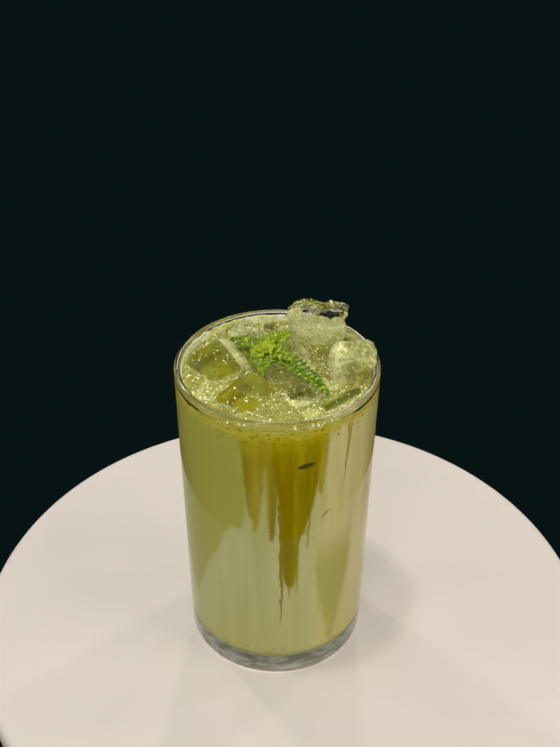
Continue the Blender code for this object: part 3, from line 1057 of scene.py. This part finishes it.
def coat_at(name, place):
    coat = COAT[name]
    for streak in STREAKS:
        away = distance_to_streak(streak, place.x, place.y) / streak.width
        coat += streak.amount * math.exp(-away * away)
    backward = how_far(place.y, FRONT_Y, BACK_Y)
    bare_from = BARE_FRONT + (BARE_BACK - BARE_FRONT) * backward
    bare_from += BARE_RAGGED * noise.noise(place / BARE_WAVE)
    bare_from += SHOULDER_RISE * how_far(place.x, SHOULDER_X, SHOULDER_X - SHOULDER_FADE)
    bare = how_far(place.z, bare_from, bare_from + BARE_FADE)
    waterline = math.exp(-max(0.0, place.z - LEVEL) / WATERLINE_WIDTH)
    return coat * (1.0 - bare) + 0.8 * waterline


def join_into(whole, part):
    """Add one bmesh to another, with the numbers on its points."""
    mesh = bpy.data.meshes.new("part")
    part.to_mesh(mesh)
    part.free()
    whole.from_mesh(mesh)
    bpy.data.meshes.remove(mesh)


def skin_lift_at(place):
    return SKIN_LIFT + SKIN_LUMP * abs(noise.noise(place / SKIN_WAVE))


def skin_form():
    """All the skins in one mesh, with the coat number on every point."""
    skins = bmesh.new()
    skins.verts.layers.float.new("coat")
    for piece, ice in zip(ice_pieces, ICE_PIECES):
        bm = bmesh.new()
        bm.from_mesh(piece.data)
        below = [face for face in bm.faces if face.calc_center_median().z < SKIN_FROM]
        bmesh.ops.delete(bm, geom=below, context="FACES")
        bmesh.ops.subdivide_edges(bm, edges=bm.edges[:], cuts=1, use_grid_fill=True)
        layer = bm.verts.layers.float.new("coat")
        move_along_normals(bm, skin_lift_at)
        for vert in bm.verts:
            vert[layer] = coat_at(ice.name, vert.co)
        join_into(skins, bm)
    return skins


# %% [markdown]
# Dried froth is pale and matt, with moist streaks, and it ends in ragged holes. Modelling each hole
# would take millions of faces, so the coat number and some noise drive the alpha instead, and only
# where the coat is thick does the dried colour cover the look of the wet froth.

# %% The skin's material
DRIED_FROTH = (1.0, 0.98, 0.44)
MOIST_FROTH = (0.66, 0.64, 0.12)


def number_on_points(tree, name):
    """A number that the mesh carries on each of its points."""
    return add_node(tree, "Attribute", {"attribute_name": name}).outputs["Fac"]


def skin_material():
    material, tree, shader, place = new_material("froth_on_ice")
    froth = use_group(tree, froth_look, Place=place)
    coat = number_on_points(tree, "coat")
    ragged = noise_field(tree, place, 1.7 * MM, detail=5.0, roughness=0.7)
    cover = plus(tree, coat, times(tree, minus(tree, ragged, 0.5), 1.5))
    alpha = fade(tree, cover, 0.42, 0.72, 0.0, 0.96)
    alpha = larger(tree, alpha, fade(tree, coat, 0.46, 0.60, 0.0, 0.55))
    thick = fade(tree, coat, 0.35, 0.75, 0.0, 0.95)
    lying = use_group(tree, matcha_patches, Place=place)["Mask"]
    clean = minus(tree, 1.0, lying, clamp=True)
    thick = times(tree, thick, clean)
    streaky = noise_field(tree, place, 2.8 * MM, detail=4.0, roughness=0.65)
    dried = mix_colour(tree, fade(tree, streaky, 0.30, 0.52), MOIST_FROTH, DRIED_FROTH)
    dress(
        tree, shader,
        Base_Color=mix_colour(tree, thick, froth["Colour"], dried),
        Roughness=fade(tree, froth["Grain"], 0.3, 0.7, 0.04, 0.25),
        Normal=froth["Normal"],
        Alpha=alpha,
    )
    return material


skin = make_object("froth_skin", skin_form(), skin_material(), sharp_from=180)
place_piece(skin, "matcha_milk")

# %% [markdown]
# ## The film on the wall
# When the glass was filled the froth stood higher, and it left a film of fine bubbles on the
# inside of the glass, tallest at the back. It is a thin ring that is spun from a closed outline,
# and then its top edge and its inner face are moved by noise. In front it is low and olive, and at
# the back pale, with a little olive where matcha lies beside it.

# %% The film
FILM_FOOT = -0.8 * MM
FILM_LOW = 0.35 * MM
FILM_HIGH = 3.6 * MM
FILM_TOP = 3.7 * MM
FILM_ROWS = 6
FILM_THICKNESS = 0.35 * MM
FILM_LUMP = 0.5
FILM_LUMP_WAVE = 0.8 * MM
FILM_EDGE_WAVE = 3.0 * MM
FILM_BEGINS = 50.0
FILM_FULL = 115.0
FILM_CELL = 0.8 * MM
TO_FILM = 0.01 * MM


def film_form():
    """A closed ring whose height and thickness vary round the glass."""
    rows = [FILM_FOOT + (1.0 * MM - FILM_FOOT) * row / FILM_ROWS for row in range(FILM_ROWS + 1)]
    wall = [(inner_radius(LEVEL + z) - TO_FILM, LEVEL + z) for z in rows]
    inside = [(r - FILM_THICKNESS, z) for r, z in reversed(wall)]
    bm = turned(wall + inside + wall[:1])
    for vert in bm.verts:
        turn = abs(math.degrees(math.atan2(vert.co.x, -vert.co.y)))
        back = how_far(turn, FILM_BEGINS, FILM_FULL)
        tall = FILM_LOW + (FILM_HIGH - FILM_LOW) * back
        tall = min(FILM_TOP, tall * (1.0 + 0.25 * noise.noise(vert.co / FILM_EDGE_WAVE)))
        up = max(0.0, vert.co.z - LEVEL) / MM
        on_wall = math.hypot(vert.co.x, vert.co.y) > inner_radius(vert.co.z) - FILM_THICKNESS / 2
        if up > 0.0:
            vert.co.z = LEVEL + tall * up
        radius = inner_radius(vert.co.z) - TO_FILM
        if not on_wall:
            lump = 1.0 + FILM_LUMP * noise.noise(vert.co / FILM_LUMP_WAVE)
            radius -= FILM_THICKNESS * lump * (1.0 - 0.8 * up)
        flat = Vector((vert.co.x, vert.co.y)).normalized() * radius
        vert.co = (flat.x, flat.y, vert.co.z)
    bmesh.ops.recalc_face_normals(bm, faces=bm.faces[:])
    return bm


FILM_PALE = (1.0, 1.0, 0.66)
FILM_MOIST = (0.76, 0.75, 0.26)
FILM_LACE = (0.98, 0.98, 0.72)
FILM_OLIVE = (0.62, 0.58, 0.03)


def film_material():
    material, tree, shader, place = new_material("wall_film")
    cells = use_group(tree, bubble_cells, Place=place, Scale=1.0 / FILM_CELL)
    cloud = noise_field(tree, place, 2.5 * MM, detail=4.0)
    colour = mix_colour(tree, fade(tree, cloud, 0.46, 0.68), FILM_PALE, FILM_MOIST)
    colour = mix_colour(tree, times(tree, cells["Rim"], 0.5), colour, FILM_LACE)
    lying = plus(tree, use_group(tree, matcha_patches, Place=place)["Mask"], cloud)
    colour = mix_colour(tree, fade(tree, lying, 0.65, 1.35, 0.0, 0.75), colour, FILM_OLIVE)
    forward = part_of(tree, place, "Y")
    in_front = fade(tree, forward, -22 * MM, -4 * MM, 0.9, 0.0)
    olive = mix_colour(tree, fade(tree, cloud, 0.4, 0.6), GREEN_FROTH, OLIVE_FROTH)
    colour = mix_colour(tree, in_front, colour, olive)
    holes = fade(tree, cells["Tone"], 0.62, 0.9, 1.0, 0.85)
    dress(
        tree, shader,
        Base_Color=colour,
        Roughness=fade(tree, cloud, 0.3, 0.7, 0.12, 0.35),
        Normal=bumped(tree, cells["Rim"], 0.3 * MM, 0.8),
        Alpha=holes,
    )
    return material


film = make_object("froth_film", film_form(), film_material(), sharp_from=180)
place_piece(film, "matcha_milk")

# %% [markdown]
# ## Mint
# A sprig of mint lies across the ice. A mint leaf has forward-pointing teeth, a sunken midrib and
# side veins, and the blade puffs up between the veins. Every leaf is a fine grid that is laid from
# the sprig's heart to its tip, kept clear of whatever lies under it, and given thickness. Each
# point remembers where it is on the leaf, and the material paints the veins from that.

# %% The leaf's rule
MINT_HEART = Vector((-4.6, 3.4, 6.0)) * MM
STEM_RADIUS = 0.9 * MM
STEM_FOOT_RADIUS = 0.7 * MM
STEM_LENGTH = 9.0 * MM
STEM_TURN = Euler((0.0, math.radians(82), math.radians(16)))
STEM_SHIFT = Vector((-2.25, -0.45, 0.9)) * MM
LEAF_THICKNESS = 0.6 * MM
THIN_EDGE = 0.45
LEAF_CLEARANCE = 0.75 * MM
LEAF_ROW = 0.28 * MM
LEAF_COLUMNS = 24
TOOTH = 2.0 * MM
TOOTH_DEPTH = 0.30
VEIN_SLANT = 1.1
QUILT = 0.32 * MM
MIDRIB_DEPTH = 0.40 * MM
STALK_WIDTH = 0.06
EDGE_WAVE = 0.35 * MM
EDGE_WAVES = 17.0
Leaf = namedtuple("Leaf", "end_x end_y end_up width arch fold roll seed youth")
LEAVES = [
    Leaf(19.0, -17.6, 2.6, 8.4, 2.0, 0.22, -8, 1, 0.0),
    Leaf(8.6, -3.6, 6.0, 6.2, 1.8, 0.30, 14, 2, 0.2),
    Leaf(-17.6, 15.2, 5.0, 8.8, 1.6, 0.28, 6, 3, 0.1),
    Leaf(-14.6, 8.4, 4.8, 6.4, 1.2, 0.30, -10, 4, 0.1),
    Leaf(5.4, 16.6, 7.0, 6.6, 1.6, 0.34, 8, 5, 0.4),
    Leaf(-0.6, 13.6, 8.6, 5.2, 1.4, 0.36, -6, 6, 0.4),
    Leaf(-5.6, -7.6, 4.0, 8.0, 1.8, 0.26, 4, 7, 0.2),
    Leaf(-9.8, -1.8, 6.6, 5.4, 1.4, 0.34, -12, 8, 0.6),
]
YOUNG_LEAVES = 7
YOUNG_LENGTH = 4.6
YOUNG_RISE = 8.6
YOUNG_SEED = 5


def young_leaves():
    """The small bright leaves that stand round the sprig's heart."""
    draw = random.Random(YOUNG_SEED)
    leaves = []
    for index in range(YOUNG_LEAVES):
        angle = math.tau * index / YOUNG_LEAVES + draw.uniform(-0.3, 0.3)
        reach = YOUNG_LENGTH * draw.uniform(0.75, 1.1)
        end_x = MINT_HEART.x / MM + reach * math.cos(angle)
        end_y = MINT_HEART.y / MM + reach * math.sin(angle)
        rise = YOUNG_RISE + draw.uniform(-0.6, 0.8)
        leaves.append(Leaf(end_x, end_y, rise, 2.8, 0.5, 0.45, 0, 20 + index, 1.0))
    return leaves


def leaf_half_width(along):
    """The outline of a mint leaf: narrow at its stalk, widest near the middle, then a point."""
    return max(0.0, math.sin(math.pi * along ** 0.8)) ** 0.75


def height_under(x, y):
    """The top of whatever lies below a place: the froth or a piece of ice."""
    start = Vector((x, y, GLASS_HEIGHT * 2))
    hits = [tree.ray_cast(start, Vector((0, 0, -1)))[0] for tree in lying_trees]
    return max([hit.z for hit in hits if hit is not None], default=LEVEL)


lying_trees = [tree_of(drink)] + ice_trees
under_heart = height_under(MINT_HEART.x, MINT_HEART.y)
print("height of the ice under the sprig's heart:", round(under_heart / MM, 1), "mm")


# %% [markdown]
# The leaf's own numbers are stored on its points: vein counts the side veins from stalk to tip,
# and falls behind towards the edge because the veins slant forward; across runs from the midrib
# to the edge; youth is 1 on the small new leaves.

# %% One leaf
LEAF_NUMBERS = ("vein", "across", "youth")


def leaf_shape(leaf, base, run, side, along, across, teeth):
    """The place of a point of the leaf's underside, and its vein number."""
    edge = abs(across)
    half = leaf.width * MM / 2 * max(STALK_WIDTH, leaf_half_width(along))
    spot = Vector((along * teeth * 0.6, across * 0.8, leaf.seed * 3.7))
    stray = noise.noise(spot)
    tooth = (along * teeth + 0.4 * stray) % 1.0
    half *= 1.0 + TOOTH_DEPTH * (1.0 + stray) * edge ** 4 * (tooth - 0.5) * 2
    vein = along * teeth + 0.5 * stray - VEIN_SLANT * edge * (1.0 - along) - 0.5
    puff = abs(math.sin(math.pi * vein)) ** 0.6 * math.sin(math.pi * min(1.0, edge * 0.92)) ** 0.5
    size = min(1.0, half / (3.0 * MM))
    up = leaf.arch * MM * math.sin(math.pi * along) + leaf.fold * half * edge
    up += EDGE_WAVE * math.sin(along * EDGE_WAVES + leaf.seed) * edge
    up += QUILT * size * puff - MIDRIB_DEPTH * size * math.exp(-((across / 0.10) ** 2))
    point = base + run * along + side * (half * across)
    point.z += up
    point.z = max(point.z, height_under(point.x, point.y) + LEAF_CLEARANCE)
    return point, vein


def leaf_form(leaf):
    base = MINT_HEART + Vector((0, 0, LEVEL))
    run = Vector((leaf.end_x * MM, leaf.end_y * MM, LEVEL + leaf.end_up * MM)) - base
    side = Vector((-run.y, run.x, 0.0)).normalized()
    side.z = math.sin(math.radians(leaf.roll))
    teeth = max(3, round(run.length / TOOTH))
    bm = bmesh.new()
    rows = max(18, round(run.length / LEAF_ROW))
    bmesh.ops.create_grid(bm, x_segments=rows, y_segments=LEAF_COLUMNS, size=1.0)
    layers = [bm.verts.layers.float.new(name) for name in LEAF_NUMBERS]
    for vert in bm.verts:
        along = (vert.co.x + 1) / 2
        across = vert.co.y
        point, vein = leaf_shape(leaf, base, run, side, along, across, teeth)
        vert.co = point
        for layer, value in zip(layers, (vein, abs(across), leaf.youth)):
            vert[layer] = value
    top = bmesh.ops.extrude_face_region(bm, geom=bm.faces[:])
    for vert in top["geom"]:
        if isinstance(vert, bmesh.types.BMVert):
            thin = 1.0 - (1.0 - THIN_EDGE) * vert[layers[1]] ** 3
            vert.co.z += LEAF_THICKNESS * thin
    bmesh.ops.recalc_face_normals(bm, faces=bm.faces[:])
    return bm


def sprig_form():
    """The stem's short end and all the leaves in one mesh."""
    sprig = bmesh.new()
    for name in LEAF_NUMBERS:
        sprig.verts.layers.float.new(name)
    bmesh.ops.create_cone(
        sprig, cap_ends=True, segments=24, radius1=STEM_FOOT_RADIUS, radius2=STEM_RADIUS,
        depth=STEM_LENGTH,
    )
    bmesh.ops.rotate(sprig, verts=sprig.verts[:], matrix=STEM_TURN.to_matrix())
    heart = MINT_HEART + Vector((0, 0, LEVEL))
    bmesh.ops.translate(sprig, verts=sprig.verts[:], vec=heart + STEM_SHIFT)
    for leaf in LEAVES + young_leaves():
        join_into(sprig, leaf_form(leaf))
    return sprig


# %% [markdown]
# Shade is painted into the valleys along the side veins, so a leaf looks bright where it puffs up
# between its veins, with pale threads at the veins themselves. An image could be wrapped on each
# leaf, but the numbers on the points follow every bend, so the veins stay on the relief that they
# belong to.

# %% The mint's material
LEAF_DARK = (0.015, 0.050, 0.0005)
LEAF_MID = (0.095, 0.195, 0.001)
LEAF_BRIGHT = (0.50, 0.57, 0.010)
LEAF_VEIN = (0.30, 0.38, 0.03)


def mint_material():
    material, tree, shader, place = new_material("mint_green")
    vein, across, youth = (number_on_points(tree, name) for name in LEAF_NUMBERS)
    near = maths(tree, "ABSOLUTE", minus(tree, maths(tree, "FRACT", vein), 0.5))
    painted_valley_shade = fade(tree, near, 0.18, 0.44)
    thread = fade(tree, near, 0.44, 0.49)
    midrib = fade(tree, across, 0.03, 0.09, 1.0, 0.0)
    mottle = noise_field(tree, place, 1.3 * MM, detail=3.0)
    leafy = mix_colour(tree, fade(tree, mottle, 0.45, 0.68), LEAF_MID, LEAF_BRIGHT)
    # painted shade in the valleys along the side veins
    leafy = mix_colour(tree, times(tree, painted_valley_shade, 0.93), leafy, LEAF_DARK)
    lines = times(tree, larger(tree, thread, midrib), 0.5)
    leafy = mix_colour(tree, lines, leafy, LEAF_VEIN)
    leafy = mix_colour(tree, fade(tree, across, 0.86, 1.0, 0.0, 0.4), leafy, LEAF_DARK)
    leafy = mix_colour(tree, times(tree, youth, 0.6), leafy, LEAF_BRIGHT)
    fine = noise_field(tree, place, 0.35 * MM, detail=2.0)
    dress(
        tree, shader,
        Base_Color=leafy,
        Roughness=fade(tree, mottle, 0.3, 0.7, 0.25, 0.40),
        Specular_IOR_Level=0.22,
        Normal=bumped(tree, fine, 0.15 * MM, 0.35),
    )
    return material


mint = make_object("mint_leaves", sprig_form(), mint_material(), sharp_from=60)
place_piece(mint, "mint_green", "mint_sprig")

# %% [markdown]
# ## Bubbles and drops
# Three kinds of small ball. Bubbles stand on the froth and on the wall, crowded round the ice; a
# bubble is a thin film, so it is clear in the middle and milky towards its outline. Beads of foam
# are smaller and pale all through; their near white, also used in the bubbles' milky outlines, is
# bright enough to stand in for painted glints on the froth and the ice. Drops of melt water sit on
# the ice. Each ball is squashed and partly sunk into what it sits on, and each kind is one mesh.

# %% The shape of a ball
BIG = 0.42 * MM
Ball = namedtuple("Ball", "place normal radius squash sink")


def ball_shape(detail):
    """The points and faces of a ball of radius 1."""
    bm = bmesh.new()
    bmesh.ops.create_icosphere(bm, subdivisions=detail, radius=1.0)
    points = np.array([vert.co[:] for vert in bm.verts])
    faces = np.array([[vert.index for vert in face.verts] for face in bm.faces])
    bm.free()
    return points, faces


def joined_balls(balls):
    """One mesh of many squashed balls, each sunk along its normal by a share of its radius."""
    shapes = {detail: ball_shape(detail) for detail in (2, 3)}
    all_points, all_faces, count = [], [], 0
    for ball in balls:
        points, faces = shapes[3 if ball.radius > BIG else 2]
        turn = np.array(Vector((0, 0, 1)).rotation_difference(ball.normal).to_matrix())
        size = np.array([ball.radius, ball.radius, ball.radius * ball.squash])
        middle = ball.place + ball.normal * (size[2] * (1.0 - 2.0 * ball.sink))
        all_points.append((points * size) @ turn.T + np.array(middle))
        all_faces.append(faces + count)
        count += len(points)
    mesh = bpy.data.meshes.new("balls")
    mesh.from_pydata(np.concatenate(all_points).tolist(), [], np.concatenate(all_faces).tolist())
    bm = bmesh.new()
    bm.from_mesh(mesh)
    bpy.data.meshes.remove(mesh)
    return bm


# %% [markdown]
# Bubbles gather where two surfaces meet, because the froth climbs there. So each kind is thrown at
# random over the drink and kept more often close to the ice, along the wall and in foamy places. A
# ray from above finds what it lands on. The random draws have fixed seeds, so each run is the same.

# %% Where the balls go
ICE_CROWD = 1.3 * MM
WALL_CROWD = 1.6 * MM
NEAR_WALL_Y = -16 * MM
NEAR_WALL_CROWD = 0.1
FOAM_CROWD_WAVE = 5 * MM
CLUSTER_WAVE = 2.5 * MM
WALL_BUBBLES = 300
WALL_SEED = 3


def topmost(x, y, trees):
    """Which of these trees is hit first from above at a place, with the hit's place and normal."""
    start = Vector((x, y, GLASS_HEIGHT * 2))
    best = (None, Vector((x, y, 0.0)), Vector((0, 0, 1)))
    for index, tree in enumerate(trees):
        place, normal = tree.ray_cast(start, Vector((0, 0, -1)))[:2]
        if place is not None and place.z > best[1].z:
            best = (index, place, normal if normal.z > 0 else -normal)
    return best


def somewhere_inside(draw, reach):
    """A random place in a disc: how far out it is, its x and its y."""
    radius = reach * math.sqrt(draw.random())
    angle = draw.uniform(0, math.tau)
    return radius, radius * math.cos(angle), radius * math.sin(angle)


def bubble_radius(draw, smallest, largest):
    """Mostly small ones: a high power keeps the large ones rare."""
    return smallest + (largest - smallest) * draw.random() ** 2.6


def froth_balls(seed, number, smallest, largest, sink):
    """Balls on the froth, crowded round the ice, along the wall and in the foamy places."""
    draw = random.Random(seed)
    balls = []
    while len(balls) < number:
        radius, x, y = somewhere_inside(draw, inner_radius(LEVEL) - 0.5 * MM)
        hit, place, normal = topmost(x, y, lying_trees)
        if hit != 0:
            continue
        to_ice = to_nearest_ice(place)
        to_wall = inner_radius(LEVEL) - radius
        at_wall = math.exp(-to_wall / WALL_CROWD)
        share = NEAR_WALL_CROWD if place.y < NEAR_WALL_Y else 1.0
        crowd = math.exp(-to_ice / ICE_CROWD) + share * at_wall
        crowd += 0.9 * max(0.0, noise.noise(place / FOAM_CROWD_WAVE)) + 0.03
        for patch in PALE_PATCHES:
            away = math.hypot(place.x - patch.x * MM, place.y - patch.y * MM) / (patch.radius * MM)
            crowd += 0.5 * math.exp(-away * away)
        if draw.random() < crowd:
            size = bubble_radius(draw, smallest, largest) * MM
            balls.append(Ball(place, normal, size, 0.85, sink))
    return balls


def wall_balls():
    """Bubbles on the inside of the glass above the froth, most of them at the back."""
    draw = random.Random(WALL_SEED)
    balls = []
    for _ in range(WALL_BUBBLES):
        turn = draw.gauss(math.radians(195), math.radians(45))
        z = LEVEL + draw.uniform(-0.2, 3.4) * MM
        reach = inner_radius(z) - FILM_THICKNESS
        place = Vector((reach * math.sin(turn), -reach * math.cos(turn), z))
        if to_nearest_ice(place) > 0.6 * MM:
            inward = Vector((-place.x, -place.y, 0.0)).normalized()
            balls.append(Ball(place, inward, bubble_radius(draw, 0.14, 0.62) * MM, 0.8, 0.35))
    return balls


def ice_balls(seed, number, smallest, largest, sink, clustered, near=None):
    """Balls on the ice, in clusters where the noise is above the given level, or near one spot."""
    draw = random.Random(seed)
    balls = []
    while len(balls) < number:
        x, y = somewhere_inside(draw, inner_radius(LEVEL))[1:]
        if near:
            x, y = draw.gauss(near.x, near.radius) * MM, draw.gauss(near.y, near.radius) * MM
        hit, place, normal = topmost(x, y, lying_trees)
        if hit not in (0, None) and noise.noise(place / CLUSTER_WAVE) > clustered:
            size = bubble_radius(draw, smallest, largest) * MM
            balls.append(Ball(place, normal, size, 0.6, sink))
    return balls


# %% [markdown]
# A drop is water, with an index of 1.33. A bubble could be a hollow shell, but its film is far
# thinner than a pixel, so Layer Weight mixes a clear shader in its middle with a milky one at its
# outline. A bead is foam all through, so it is opaque, and its near-white spots are painted glints
# as well as pale foam.

# %% The balls' materials
# near-white foam, bright enough to serve also as painted glints
FOAM_WHITE_AND_GLINT = (1.0, 0.99, 0.66)
BUBBLE_CLEAR = (0.97, 0.97, 0.86)
WATER_INDEX = 1.33
WATER_TINT = (0.98, 0.99, 0.96)
WATER_SHADE = (0.95, 0.95, 0.88)


def drop_material():
    material, tree, shader, place = new_material("melt_water")
    ripples = noise_field(tree, place, 0.5 * MM, detail=1.0)
    dress(
        tree, shader,
        Base_Color=WATER_TINT,
        Roughness=fade(tree, ripples, 0.3, 0.7, 0.0, 0.06),
        IOR=WATER_INDEX,
        Transmission_Weight=1.0,
    )
    let_lamps_through(tree, shader, WATER_SHADE)
    return material


def bubble_material():
    """A thin film: clear in the middle of the bubble, milky towards its outline."""
    material, tree, shader, place = new_material("bubble_film")
    tone = noise_field(tree, place, 0.9 * MM, detail=1.0)
    dress(
        tree, shader,
        Base_Color=mix_colour(tree, tone, FOAM_WHITE_AND_GLINT, PALE_FROTH),
        Roughness=fade(tree, tone, 0.3, 0.7, 0.03, 0.12),
    )
    outline = add_node(tree, "LayerWeight", Blend=0.5).outputs["Facing"]
    milky = fade(tree, outline, 0.25, 0.95, 0.10, 0.95)
    clear = add_node(tree, "BsdfTransparent", Color=BUBBLE_CLEAR)
    mix_into_surface(tree, milky, clear, shader)
    return material


def bead_material():
    material, tree, shader, place = new_material("bead")
    tone = noise_field(tree, place, 1.1 * MM, detail=2.0)
    dress(
        tree, shader,
        Base_Color=mix_colour(tree, fade(tree, tone, 0.36, 0.52), PALE_FROTH, FOAM_WHITE_AND_GLINT),
        Roughness=fade(tree, tone, 0.3, 0.7, 0.08, 0.2),
    )
    return material


# %% [markdown]
# Every kind is joined into one mesh from a template ball of a few dozen or a few hundred faces, and
# is placed at true size. Three spots on the ice hold tight clusters of drops, which catch the light.

# %% Scatter them
BUBBLES = 900
BEADS = 1400
ICE_BEADS = 260
DROPS = 300
SPOT_DROPS = 70
BUBBLE_SEED, BEAD_SEED, ICE_BEAD_SEED, DROP_SEED, SPOT_SEED = 3, 4, 6, 8, 9
DROP_SPOTS = [Patch(25.8, 3.0, 2.6, 1.0), Patch(-16.0, 6.0, 3.0, 1.0), Patch(6.0, -16.0, 2.4, 1.0)]
ANYWHERE = -1.0

bubbles = froth_balls(BUBBLE_SEED, BUBBLES, 0.16, 0.85, 0.40) + wall_balls()
bubbles = make_object("froth_bubbles", joined_balls(bubbles), bubble_material())
place_piece(bubbles, "matcha_milk")
beads = froth_balls(BEAD_SEED, BEADS, 0.10, 0.42, 0.45)
beads += ice_balls(ICE_BEAD_SEED, ICE_BEADS, 0.10, 0.36, 0.45, 0.12)
beads = make_object("froth_beads", joined_balls(beads), bead_material())
place_piece(beads, "matcha_milk")
drops = ice_balls(DROP_SEED, DROPS, 0.12, 0.55, 0.3, ANYWHERE)
for spot in DROP_SPOTS:
    drops += ice_balls(SPOT_SEED, SPOT_DROPS, 0.22, 0.75, 0.3, ANYWHERE, near=spot)
drops = make_object("melt_drops", joined_balls(drops), drop_material())
place_piece(drops, "wet_ice")

# %% [markdown]
# ## The stage
# A round pale floor under the glass and soft lamps round it. The dark beyond the floor is what
# the clear ice and the upper part of the glass mirror. The large lamps stand low, because a lamp
# that is lower than the rim is never mirrored by an upright wall that is seen from above. Small
# bright ones overhead, in front, behind and in a ring give the crisp glints on the wet ice, the
# bubbles and the lip.

# %% The floor
FLOOR_RADIUS = 128 * MM
FLOOR_MIDDLE = Vector((3.8 * MM, 4.5 * MM, 0.0))
FLOOR_THICKNESS = 12 * MM
FLOOR_PALE = (0.79, 0.70, 0.61)
FLOOR_SHADE = (0.75, 0.67, 0.58)


def floor_material():
    material, tree, shader, place = new_material("pale_floor")
    mottle = noise_field(tree, place, 30 * MM, detail=4.0)
    dress(
        tree, shader,
        Base_Color=mix_colour(tree, mottle, FLOOR_PALE, FLOOR_SHADE),
        Roughness=0.8,
        Specular_IOR_Level=0.2,
    )
    return material


bm = bmesh.new()
bmesh.ops.create_cone(
    bm, cap_ends=True, segments=ROUND_STEPS, radius1=FLOOR_RADIUS, radius2=FLOOR_RADIUS,
    depth=FLOOR_THICKNESS,
)
bmesh.ops.translate(bm, verts=bm.verts[:], vec=FLOOR_MIDDLE - Vector((0, 0, FLOOR_THICKNESS / 2)))
rims = [edge for edge in bm.edges if len(edge.link_faces[0].verts) != len(edge.link_faces[1].verts)]
bmesh.ops.bevel(bm, geom=rims, offset=3 * MM, affect="EDGES", segments=4, profile=0.5, material=-1)
make_object("round_floor", bm, floor_material())

# %% [markdown]
# The first lamps could be one large sky, but then the glass would mirror it everywhere and hide the
# drink. Separate lamps leave dark between them. A few more small ones stand in a ring overhead.

# %% The lamps
RING_LAMPS = 7
RING_RADIUS = 0.42
RING_HEIGHT = 0.78
AIM_AT = Vector((0, 0, 0.1))
Lamp = namedtuple("Lamp", "name place size power")
LAMPS = [
    Lamp("glint_overhead", (-0.10, -0.05, 0.85), 0.05, 1.2),
    Lamp("soft_front", (-0.25, -1.00, 0.50), 0.70, 4.2),
    Lamp("soft_right", (0.95, -0.30, 0.50), 0.50, 3.6),
    Lamp("soft_left", (-0.95, -0.15, 0.45), 0.50, 1.9),
    Lamp("glint_right", (0.50, 0.50, 0.70), 0.045, 1.0),
    Lamp("glint_back", (0.04, 0.62, 0.56), 0.035, 0.8),
    Lamp("glint_left", (-0.42, 0.50, 0.65), 0.045, 1.0),
    Lamp("glint_front_left", (-0.30, -0.80, 0.60), 0.03, 0.38),
    Lamp("glint_front", (0.06, -0.75, 0.78), 0.03, 0.38),
    Lamp("glint_front_right", (0.38, -0.80, 0.52), 0.03, 0.38),
]

for index in range(RING_LAMPS):
    turn = math.tau * (index + 0.3) / RING_LAMPS
    place = (RING_RADIUS * math.cos(turn), RING_RADIUS * math.sin(turn), RING_HEIGHT)
    LAMPS.append(Lamp("glint_ring_" + str(index), place, 0.02, 0.26))

for lamp in LAMPS:
    light = bpy.data.lights.new(lamp.name, "AREA")
    light.energy = lamp.power
    light.size = lamp.size
    holder = show(bpy.data.objects.new(lamp.name, light))
    holder.location = lamp.place
    aim = AIM_AT - Vector(lamp.place)
    holder.rotation_euler = aim.to_track_quat("-Z", "Y").to_euler()

# %% The dark beyond the floor
DARK_SURROUND = (0.0024, 0.0070, 0.0070, 1.0)

world = bpy.data.worlds.new("dark_surround")
bpy.context.scene.world = world
world.use_nodes = True
world.node_tree.nodes["Background"].inputs["Color"].default_value = DARK_SURROUND
bpy.context.scene.view_settings.view_transform = "Standard"

# %% [markdown]
# ## The camera
# The ellipses of the rim and the base, and the two sides, fix where the photograph was taken from:
# about half a metre away, looking down by 35 degrees, with the camera turned by less than half a
# degree. The lens follows from the height of the picture.

# %% The camera
CAMERA_PLACE = Vector((1.0, -336.3, 356.3)) * MM
LOOKING_DOWN = 34.76
CAMERA_ROLL = -0.40
SENSOR = 36.0
PICTURE_HEIGHT = 747
FOCAL_LENGTH_PX = 1122.0

camera_data = bpy.data.cameras.new("camera")
camera_data.sensor_width = SENSOR
camera_data.lens = FOCAL_LENGTH_PX * SENSOR / PICTURE_HEIGHT
camera_data.clip_start = 0.01
camera = show(bpy.data.objects.new("camera", camera_data))
down = math.radians(LOOKING_DOWN)
roll = math.radians(CAMERA_ROLL)
ahead = Vector((0, math.cos(down), -math.sin(down)))
level_right = Vector((1, 0, 0))
below = ahead.cross(level_right)
right = level_right * math.cos(roll) + below * math.sin(roll)
up = level_right * math.sin(roll) - below * math.cos(roll)
turned_so = Matrix((right, up, -ahead)).transposed().to_4x4()
camera.matrix_world = Matrix.Translation(CAMERA_PLACE) @ turned_so
bpy.context.scene.camera = camera
print("lens:", round(camera_data.lens, 2), "mm")
